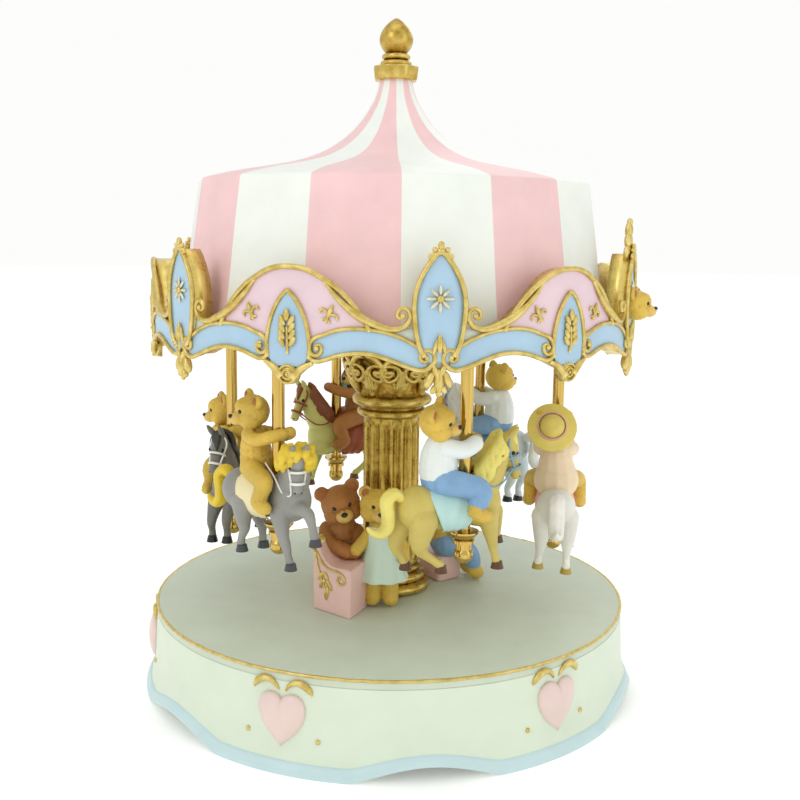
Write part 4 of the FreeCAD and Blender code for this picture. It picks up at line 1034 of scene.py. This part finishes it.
random.seed(5)
for beast, (coat, wash_and_shade, mane, hoof, legs, head, long_ears) in HERD.items():
    rides_on = "pole_" + beast + "_set"
    stand = ring_place(beast)
    COAT = painted_resin(beast + "_coat_paint", coat, wash_and_shade, 0.6, 0.16, 0.48, 1.1, 0.12)
    MANE = painted_resin(beast + "_mane_paint", mane, wash_and_shade, 0.7, 0.12, 0.5, 0.6, 0.2)
    HOOF = painted_resin(beast + "_hoof_paint", hoof, "#1a120a", 0.5, 0.1, 0.4)
    hx, hy, hz, yaw, nod = head
    face = (Matrix.Translation((hx, hy, hz)) @ Matrix.Rotation(math.radians(yaw), 4, "Z")
            @ Matrix.Rotation(math.radians(nod), 4, "Y"))
    skin = bmesh.new()
    for centre, radii in (((6.0, 0, 22.5), (8.6, 7.4, 8.6)), ((8.2, 0, 24.0), (6.4, 5.8, 7.6)),
                          ((-6.5, 0, 21.8), (12.5, 7.5, 7.9)), ((-14, 0, 22.0), (9.0, 7.4, 7.6)),
                          ((-19.0, 0, 23.0), (8.4, 8.0, 8.4)), ((-1.0, 0, 27.0), (7.0, 4.6, 5.6))):
        ball(skin, centre, radii, segments=24)
    balls(skin, [(5.0, 0, 27, 6.6), (9.5, hy * 0.2, 32, 5.9), (hx - 3.6, hy * 0.6, hz - 5.5, 4.9),
                 (hx - 1.6, hy * 0.9, hz - 1.5, 3.9)])
    for path in legs.values():
        balls(skin, path)
    add_mesh(skin, horse_head(face, long_ears))
    body = sculpt(beast + "_horse", skin, [COAT], rides_on, stand, 0.5, 0.05, 2.0, 6)
    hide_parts("horse_" + beast)

    hooves = bmesh.new()
    for path in legs.values():
        x, y, z, _ = path[-1]
        bmesh.ops.create_cone(hooves, cap_ends=True, segments=18, radius1=2.5, radius2=1.9, depth=2.6,
                              matrix=Matrix.Translation((x + 0.5, y, z - 1.6)))
    hooves.transform(stand)
    piece(beast + "_hooves", hooves, [HOOF], rides_on, sharp=40)

    details = bmesh.new()
    for side in (-1, 1):
        ball(details, (3.9, side * 3.15, 1.2), (0.85, 0.5, 0.75))
        ball(details, (13.4, side * 1.15, 0.35), (0.45, 0.4, 0.35))
    details.transform(stand @ face)
    piece(beast + "_eyes", details, [BLACK_PAINT], rides_on)

    hair = bmesh.new()
    if beast != "grey":
        for k in range(26):
            along = k / 25
            x = hx - 2.6 - 9.5 * along ** 1.1
            z = hz + 3.2 - 12.5 * along
            side = -1 if k % 2 else 1
            drop = 5.5 + 3.0 * random.random()
            wave = random.uniform(-1.3, 1.3)
            balls(hair, [(x, hy * (1 - along) + side * 0.5, z + 1.4, 1.15),
                         (x - 1.4, hy * (1 - along) + side * 3.4, z - 0.6, 1.3),
                         (x - 0.6 + wave, hy * (1 - along) + side * 4.9, z - drop * 0.6, 1.1),
                         (x - 2.0 + wave, hy * (1 - along) + side * 5.2, z - drop, 0.5)], 4)
        for k in range(4):
            lock = face @ Vector((1.0 + 1.2 * k, (k - 1.5) * 0.9, 3.2))
            root = face @ Vector((-2.5, (k - 1.5) * 0.7, 3.6))
            balls(hair, [(*root, 1.2), (*((root + lock) / 2), 1.15), (*lock, 0.5)], 4)
    else:
        for k in range(46):
            angle = random.uniform(-2.0, 2.4)
            reach = random.uniform(3.6, 7.2)
            across = reach * math.sin(angle)
            back = random.uniform(-5.0, 2.0)
            at = face @ Vector((-reach * math.cos(angle) * 0.55 - 0.5, across, back + 1.6))
            end = at + Vector((random.uniform(-2, 2), random.uniform(-2, 2), -random.uniform(2.5, 5.5)))
            balls(hair, [(*at, 1.5), (*((at + end) / 2 + Vector((1.0, -0.8, 0.4))), 1.6), (*end, 0.8)], 4)
    made = sculpt(beast + "_mane", hair, [MANE], rides_on, stand, 0.42, 0.12, 0.9, 2)

    tail = bmesh.new()
    for k, (dy, dr) in enumerate(((0, 0.0), (-1.3, -0.5), (1.3, -0.5))):
        balls(tail, [(-25.0, dy * 0.4, 26.5, 1.6), (-28.4, dy, 29.0, 2.3 + dr), (-31.4, dy, 26.6, 2.6 + dr),
                     (-30.9, dy, 21.5, 2.6 + dr), (-31.0, dy, 17.2, 2.5 + dr), (-33.6, dy, 14.8, 2.1 + dr),
                     (-37.0, dy * 0.4, 15.6, 1.2), (-38.8, 0, 17.4, 0.6)])
    made = sculpt(beast + "_tail", tail, [MANE], rides_on, stand, 0.45, 0.12, 1.0, 2)

    straps = bmesh.new()
    for x, width in ((9.8, 1.0), (5.4, 0.9)):
        band(straps, (2.35 + 0.12 * (10 - x), 2.45 + 0.2 * (10 - x)), width, 0.25,
             face @ Matrix.Translation((x, 0, -0.6)) @ Matrix.Rotation(math.radians(4), 4, "Y"), 0.35, 28)
    for side in (-1, 1):
        cheek = [(9.8, side * 2.4, -0.4), (5.0, side * 3.2, 0.0), (0.5, side * 3.7, 0.6),
                 (-2.6, side * 2.0, 2.6)]
        draw_line(straps, [(*(face @ Vector(point)), 1) for point in cheek], 0.42)
        draw_line(straps, [(*(face @ Vector((9.8, side * 2.5, -1.2))), 1), (10.5, side * 5.6, hz - 15.0, 1),
                           (3.0, side * 6.4, 33.0, 1), (-3.0, side * 4.0, 36.0, 1)], 0.34)
    straps.transform(stand)
    piece(beast + "_bridle", straps, [BRIDLES[beast]], rides_on)

    cloth = bmesh.new()
    columns, rows = 20, 30
    grid = []
    for i in range(rows + 1):
        around = math.radians(-152 + 304 * i / rows)
        narrow = 1 - 0.52 * min(1.0, abs(around) / math.radians(140)) ** 2.2
        row = []
        for k in range(columns + 1):
            x = -7.4 + (k / columns * 2 - 1) * 9.6 * narrow + 1.8 * (1 - narrow)
            ripple = 0.22 * math.sin(k * 0.9 + i * 0.5)
            row.append(cloth.verts.new((x, -(7.9 + ripple) * math.sin(around),
                                        21.9 + (8.5 + ripple * 0.6) * math.cos(around))))
        grid.append(row)
    for i in range(rows):
        for k in range(columns):
            cloth.faces.new((grid[i][k], grid[i + 1][k], grid[i + 1][k + 1], grid[i][k + 1]))
    cloth.transform(stand)
    bmesh.ops.recalc_face_normals(cloth, faces=cloth.faces)
    made = piece(beast + "_saddle_cloth", cloth, [BLANKETS[beast]], rides_on)
    thick = made.modifiers.new("thickness", "SOLIDIFY")
    thick.thickness = 0.7 * MM
    thick.offset = 0

# ---------------------------------------------------------------- six seated bears
# Bears of textured resin sitting astride behind the poles with both arms round them.
# Clothes are cast on, thicker than the fur: sweater, jeans, dress, shirt and a sun hat.
DENIM = painted_resin("denim_paint", "#86aed6", "#3e6590", 0.6, 0.25, 0.55, 0.5, 0.3)
WHITE_KNIT = painted_resin("white_knit_paint", "#e9efec", "#98a8a8", 0.45, 0.06, 0.6, 0.4, 0.45)
PEACH = painted_resin("peach_dress_paint", "#eed6b4", "#b98f68", 0.45, 0.1, 0.5)
STRAW = painted_resin("straw_hat_paint", "#e9d36c", "#a07a24", 0.6, 0.12, 0.6, 0.4, 0.5)
TEAL_BOW = painted_resin("teal_bow_paint", "#7fb5ac", "#3d6a66", 0.5, 0.08, 0.45)

# fur, head (x, y, z, yaw, tilt, nod), outward lean
RIDERS = {
    "palomino": (FUR_GOLD, (-12.4, -1.6, 54.6, -42, 18, 4), -1.0),
    "white": (FUR_GOLD, (-12.0, 2.0, 54.5, 8, 0, 0), 0.5),
    "blue": (FUR_GOLD, (-11.0, 0.0, 55.0, -118, 0, 0), 0.0),
    "cream": (FUR_BROWN, (-10.5, 0.0, 53.5, 24, -14, 6), 0.0),
    "dark": (FUR_GOLD, (-11.5, -7.5, 53.5, -66, 0, 6), -5.0),
    "grey": (FUR_GOLD, (-11.5, -2.4, 54.2, -118, -6, 2), -1.6),
}
for beast, (fur, (x, y, z, yaw, tilt, nod), lean) in RIDERS.items():
    rides_on = "pole_" + beast + "_set"
    stand = ring_place(beast)
    head = head_place((x, y, z), yaw, tilt, nod)
    torso = [(-11.0, lean * 0.2, 34.5, 6.7), (-11.2, lean * 0.5, 40, 6.2), (-11.2, lean * 0.9, 45.5, 4.6)]
    arms = [[(-10.4, side * 4.4 + lean * 0.8, 46.0, 2.7), (-4.5, side * 6.4 + lean * 0.5, 45.0, 2.6),
             (1.2, side * 4.9, 46.6, 2.5), (3.6, side * 1.9, 47.4, 2.3)] for side in (-1, 1)]
    limbs = [[(-10.5, side * 4.4, 33.2, 4.3), (-4.0, side * 7.8, 32.0, 4.0), (1.6, side * 9.6, 30.0, 3.6),
              (0.4, side * 10.2, 25.6, 3.1), (-0.8, side * 10.4, 22.6, 2.9)] for side in (-1, 1)]
    feet = [[(-0.8, side * 10.4, 22.4, 2.8), (1.8, side * 10.8, 21.0, 2.9), (3.6, side * 11.0, 20.6, 2.4)]
            for side in (-1, 1)]
    figure = bmesh.new()
    bear_head(figure, head)
    for path in [torso] + arms + limbs + feet:
        balls(figure, path)
    body = sculpt(beast + "_bear", figure, [fur], rides_on, stand, 0.48, 0.16, 1.3, 3)
    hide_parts("rider_" + beast)
    bear_face(beast + "_bear", rides_on, stand @ head, 1.0)
    if beast in ("palomino", "blue"):
        shirt = bmesh.new()
        balls(shirt, [(-11.2, lean * 0.2, 36.4, 7.3), (-11.3, lean * 0.5, 41, 7.0),
                      (-11.2, lean * 0.9, 45.8, 5.4)])
        for path in arms:
            balls(shirt, [(px, py, pz, r + 0.75) for px, py, pz, r in path[:3]])
        made = sculpt(beast + "_sweater", shirt, [WHITE_KNIT], rides_on, stand, 0.48, 0.07, 2.4, 4)
        jeans = bmesh.new()
        balls(jeans, [(-11.0, lean * 0.2, 33.6, 7.0), (-11.0, lean * 0.3, 35.4, 7.0)])
        for path in limbs:
            balls(jeans, [(px, py, pz, r + 0.7) for px, py, pz, r in path[:4]])
        made = sculpt(beast + "_jeans", jeans, [DENIM], rides_on, stand, 0.48, 0.07, 2.0, 4)
    if beast == "white":
        dress = bmesh.new()
        balls(dress, [(-11.0, 0, 33.0, 9.4), (-11.2, 0, 37, 7.9), (-11.3, 0.4, 42, 6.9),
                      (-11.2, 0.6, 46, 5.4)])
        for path in arms:
            balls(dress, [(px, py, pz, r + 0.7) for px, py, pz, r in path[:2]])
        made = sculpt("peach_dress", dress, [PEACH], rides_on, stand, 0.48, 0.08, 2.6, 4)
        hat = turn_profile(smooth_path([(0, 5.6), (2.6, 5.2), (4.6, 3.4), (5.3, 0.8), (6.6, -0.3),
                                        (9.6, -1.2), (9.9, -0.5), (7.0, 0.5), (5.9, 1.0)], 4), 48)
        wear = (Matrix.Translation((x - 4.6, y + 0.6, z + 1.6))
                @ Matrix.Rotation(math.radians(-66), 4, "Y"))
        hat.transform(stand @ wear)
        made = piece("sun_hat", hat, [STRAW], rides_on)
        ribbon = bmesh.new()
        band(ribbon, (5.2, 5.2), 1.6, 0.2, wear @ Matrix.Translation((0, 0, 1.4))
             @ Matrix.Rotation(math.pi / 2, 4, "Y"), 0.4)
        ribbon.transform(stand)
        piece("hat_ribbon", ribbon, [CLOTH_PINK], rides_on)
    if beast == "cream":
        bow = bmesh.new()
        ball(bow, (-4.6, -3.2, 47.6), (1.6, 3.0, 2.2), 20, "X")
        ball(bow, (-3.4, 2.0, 47.6), (1.6, 3.0, 2.2), -20, "X")
        ball(bow, (-4.0, -0.6, 47.6), (1.3, 1.2, 1.3))
        made = sculpt("teal_bow", bow, [TEAL_BOW], rides_on, stand, 0.35, 0.0)

# ---------------------------------------------------------------- ticket counter and its two bears
# A pink counter with a taller scrolled back, a gilt line, a spiral and a leaf; a brown
# bear leans on it with both arms and a golden bear in a mint dress stands beside it.
BOOTH_PINK = painted_resin("counter_pink_paint", "#ecc4bb", "#b5857a", 0.5, 0.07, 0.45)
MINT_CLOTH = painted_resin("mint_dress_paint", "#cfe3d2", "#8aa591", 0.5, 0.08, 0.5)
FLOOR_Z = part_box("ticket_booth")[0].z / MM
booth_low, booth_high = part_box("ticket_booth")
left_corner = Vector((booth_high.x / MM - 23.8, booth_low.y / MM + 13.2, FLOOR_Z))
front_corner = Vector((booth_high.x / MM - 7.9, booth_low.y / MM, FLOOR_Z))
along_front = front_corner - left_corner
going_back = Vector((7.9, 19.1, 0))
rise = smooth_path([(0.0, 27.6), (0.1, 28.6), (0.2, 25.6), (0.32, 22.2), (0.46, 20.4), (0.62, 20.0),
                    (0.85, 20.4), (1.0, 20.2)], 4)


def front_point(u, z, out=0.0):
    """A point of the counter's front at a share of its width, a height and a relief."""
    outwards = Vector((along_front.y, -along_front.x, 0)).normalized()
    return left_corner + along_front * u + Vector((0, 0, z)) + outwards * out


booth_bm = bmesh.new()
swell = [(0.0, 0.0), (0.012, 4.0), (0.0, 9.0), (-0.01, 16.0)]
outline = [(u, z) for u, z in swell] + rise + [(1 - u, z) for u, z in reversed(swell)]
face = booth_bm.faces.new([booth_bm.verts.new(front_point(u, z)) for u, z in outline])
made = bmesh.ops.extrude_face_region(booth_bm, geom=[face])["geom"]
bmesh.ops.translate(booth_bm, vec=going_back, verts=[v for v in made if isinstance(v, bmesh.types.BMVert)])
bmesh.ops.recalc_face_normals(booth_bm, faces=booth_bm.faces)
bmesh.ops.bevel(booth_bm, geom=[e for e in booth_bm.edges if e.calc_face_angle(0) > 0.8], offset=0.7,
                segments=3, profile=0.5, affect="EDGES", material=-1)
counter = piece("ticket_counter", booth_bm, [BOOTH_PINK], "root", sharp=35)
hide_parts("ticket_booth")

trim_bm = bmesh.new()
roll = front_point(0.03, 27.4)
bmesh.ops.create_cone(trim_bm, cap_ends=True, segments=28, radius1=2.2, radius2=2.2,
                      depth=going_back.length + 0.8,
                      matrix=Matrix.Translation(roll + going_back / 2)
                      @ going_back.to_track_quat("Z", "Y").to_matrix().to_4x4())
line = [(0.03, 25.3), (0.12, 24.4), (0.22, 21.9), (0.34, 19.6), (0.5, 18.6), (0.68, 18.6), (0.82, 17.4),
        (0.86, 15.2), (0.79, 13.7), (0.69, 14.2), (0.68, 16.0), (0.75, 16.2)]
draw_line(trim_bm, [(*front_point(u, z, 0.3), 1.0) for u, z in line], 0.5)
draw_line(trim_bm, [(*front_point(u, z, 0.3), t) for u, z, t in
                    ((0.08, 24.6, 0.9), (0.12, 20.5, 1.0), (0.2, 16.0, 1.0), (0.34, 9.6, 0.8))], 0.45)
for u, z, turn, size in ((0.22, 15.0, 40, 1.0), (0.36, 15.2, -30, 1.0), (0.26, 11.8, 35, 1.1),
                         (0.44, 12.0, -35, 1.2), (0.38, 8.2, 10, 1.3)):
    leaf_at = front_point(u, z, 0.25)
    leaf_turn = (Matrix.Translation(leaf_at) @ along_front.to_track_quat("X", "Z").to_matrix().to_4x4()
                 @ Matrix.Rotation(math.radians(turn), 4, "Y") @ Matrix.Diagonal((1.1, 0.6, 2.3 * size, 1)))
    bmesh.ops.create_uvsphere(trim_bm, u_segments=12, v_segments=8, radius=1.0, matrix=leaf_turn)
piece("counter_gilding", trim_bm, [GILT], "root")


def deck_bear(name, stands_for, fur, middle, torso, arms, legs, head_at, head_turns, size):
    """A bear on the deck, its limbs given from the foot of its middle: fused and painted."""
    x, y = middle

    def moved(path):
        return [(x + px, y + py, FLOOR_Z + pz, radius) for px, py, pz, radius in path]

    figure = bmesh.new()
    head = head_place((x + head_at[0], y + head_at[1], FLOOR_Z + head_at[2]), *head_turns)
    bear_head(figure, head, size)
    for path in [torso] + arms + legs:
        balls(figure, moved(path))
    skin = sculpt(name, figure, [fur], "root", Matrix(), 0.5, 0.18, 1.3, 3)
    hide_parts(stands_for)
    bear_face(name, "root", head, size)


def middle_of(part, from_back):
    """Middle of a standing bear: half its width, and a depth in from its back."""
    near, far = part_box(part)
    return (near.x + far.x) / 2 / MM, far.y / MM - from_back


deck_bear("brown_bear_skin", "brown_bear", FUR_BROWN, middle_of("brown_bear", 8.5),
          [(3, 1, 8, 8.0), (2.5, 0, 20, 8.4), (2, -1, 31, 6.4)],
          [[(-4, -2, 30, 3.6), (-3, -8, 26, 3.4), (5, -11.5, 23.2, 3.2)],
           [(8, -1, 29, 3.6), (10, -6.5, 25, 3.4), (8, -11.5, 23.2, 3.2)]],
          [[(-1, 1, 9, 4.2), (-1.5, 0, 3.6, 3.8)], [(7, 1, 9, 4.2), (7.5, 0, 3.6, 3.8)]],
          (1.8, -1.0, 40.5), (-82, 16, 6), 1.22)
dx, dy = middle_of("dress_bear", 11.0)
deck_bear("golden_deck_bear", "dress_bear", FUR_GOLD, (dx, dy),
          [(0, 0, 16, 5.8), (0, 0, 25, 5.8), (-0.5, 0.4, 33, 4.8)],
          [[(-5, 0, 31, 2.9), (-8.6, -2, 27, 2.7), (-10.5, -3.5, 25, 2.6)],
           [(5, 0, 31, 2.9), (8.2, -2, 26.5, 2.7), (9.0, -4, 22, 2.6)]],
          [[(-3.4, 0, 15, 3.9), (-3.6, -0.4, 8, 3.6), (-3.8, -1.4, 3.2, 3.4)],
           [(3.4, 0, 15, 3.9), (3.6, -0.4, 8, 3.6), (3.8, -1.4, 3.2, 3.4)]],
          (-2.2, 2.0, 42.0), (-78, -6, 4), 1.06)
gown = turn_profile(smooth_path([(r, FLOOR_Z + z) for r, z in (
    (5.0, 34.5), (6.6, 31), (7.0, 26), (8.0, 21), (9.6, 16), (10.8, 12.6), (10.3, 12.2), (7.0, 15))], 4), 72)
bmesh.ops.translate(gown, verts=gown.verts, vec=(dx, dy, 0))
for vert in gown.verts:
    fold = math.atan2(vert.co.y - dy, vert.co.x - dx)
    flare = max(0.0, (FLOOR_Z + 26 - vert.co.z) / 14)
    swing = 1 + 0.05 * flare * math.sin(9 * fold)
    vert.co.x = dx + (vert.co.x - dx) * swing
    vert.co.y = dy + (vert.co.y - dy) * swing * 0.86
bmesh.ops.recalc_face_normals(gown, faces=gown.faces)
piece("mint_dress", gown, [MINT_CLOTH], "root")

# ---------------------------------------------------------------- bench and sitting bear
# A low pink bench stands behind the column with a golden bear on it, in blue trousers,
# feet out over the deck. Cast resin, painted.
BENCH_TURN = Matrix.Rotation(math.radians(127), 4, "Z")
bench_bm = bmesh.new()
bmesh.ops.create_cube(bench_bm, size=1.0, matrix=Matrix.Translation((0, -26.5, FLOOR_Z + 6))
                      @ Matrix.Diagonal((20, 13, 12, 1)))
bmesh.ops.bevel(bench_bm, geom=list(bench_bm.edges), offset=1.4, segments=4, profile=0.5, affect="EDGES",
                material=-1)
bench_bm.transform(BENCH_TURN)
bench = piece("low_bench", bench_bm, [BOOTH_PINK], "root", sharp=40)
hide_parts("pink_bench")
seat = Matrix.Translation((0, 0, FLOOR_Z)) @ Matrix.Rotation(math.radians(110), 4, "Z")
sitter = bmesh.new()
sit_head = head_place((0, -26, 36.5), -90)
bear_head(sitter, sit_head)
for path in ([(0, -26, 19, 6.4), (0, -25.5, 24, 5.8), (0, -25.5, 28, 4.8)],
             [(5, -26, 27, 2.7), (7.4, -29, 22, 2.5), (6.0, -32, 19, 2.4)],
             [(-5, -26, 27, 2.7), (-7.4, -29, 22, 2.5), (-6.0, -32, 19, 2.4)],
             [(3.6, -29, 15.4, 3.2), (4.0, -35, 14.5, 3.0), (4.2, -38, 10, 2.8), (4.2, -38.6, 4.6, 3.0),
              (4.2, -40.6, 3.4, 3.2)],
             [(-3.6, -29, 15.4, 3.2), (-4.0, -35, 14.5, 3.0), (-4.2, -38, 10, 2.8), (-4.2, -38.6, 4.6, 3.0),
              (-4.2, -40.6, 3.4, 3.2)]):
    balls(sitter, path)
made = sculpt("sitting_bear_skin", sitter, [FUR_GOLD], "root", seat, 0.5, 0.18, 1.3, 3)
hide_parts("sitting_bear")
bear_face("sitting_bear_face", "root", seat @ sit_head, 1.0)
trousers = bmesh.new()
for side in (-1, 1):
    balls(trousers, [(side * 1.6, -26, 17.6, 6.4), (side * 3.6, -29, 15.6, 4.1), (side * 4.0, -35, 14.7, 3.8),
                     (side * 4.2, -37.8, 11, 3.6), (side * 4.2, -38.4, 7.6, 3.6)])
sculpt("blue_trousers", trousers, [DENIM], "root", seat, 0.5, 0.06, 2.0, 3)

# ---------------------------------------------------------------- movement and hidden parts
# The wind-up movement, its key, the closing board and the parts inside the canopy keep
# their machined shapes; steel is brushed, brass is satin and the mouldings are plain.
MACHINED_GRAIN = (0.4, 6, 0.4)
BRUSHED_STEEL = drawn_finish("brushed_steel", "#7d7f80", "#aab0b2", 0.24, 0.4, 1.0, MACHINED_GRAIN)
SATIN_BRASS = drawn_finish("satin_brass", "#a8843a", "#d8bb6c", 0.2, 0.36, 1.0, MACHINED_GRAIN)
IVORY_MOULDING = drawn_finish("ivory_moulding", "#d9d8cc", "#e6e5dc", 0.42, 0.5, 0.0, MACHINED_GRAIN)
FELTED_BOARD = drawn_finish("felted_board", "#20231f", "#2e312c", 0.85, 0.95, 0.0, MACHINED_GRAIN)
HIDDEN = (
    (BRUSHED_STEEL, ("movement_bedplate", "movement_screws", "music_comb", "centre_tube", "drive_shaft",
                     "mainspring", "cover_screws")),
    (SATIN_BRASS, ("movement_brackets", "spring_barrel", "winding_key", "music_cylinder",
                   "governor_fan", "pole_guides")),
    (IVORY_MOULDING, ("cam_track", "ceiling_disc", "crown_hub")),
    (FELTED_BOARD, ("bottom_cover",)),
)
for finish, parts in HIDDEN:
    for part in parts:
        cover(part, finish)
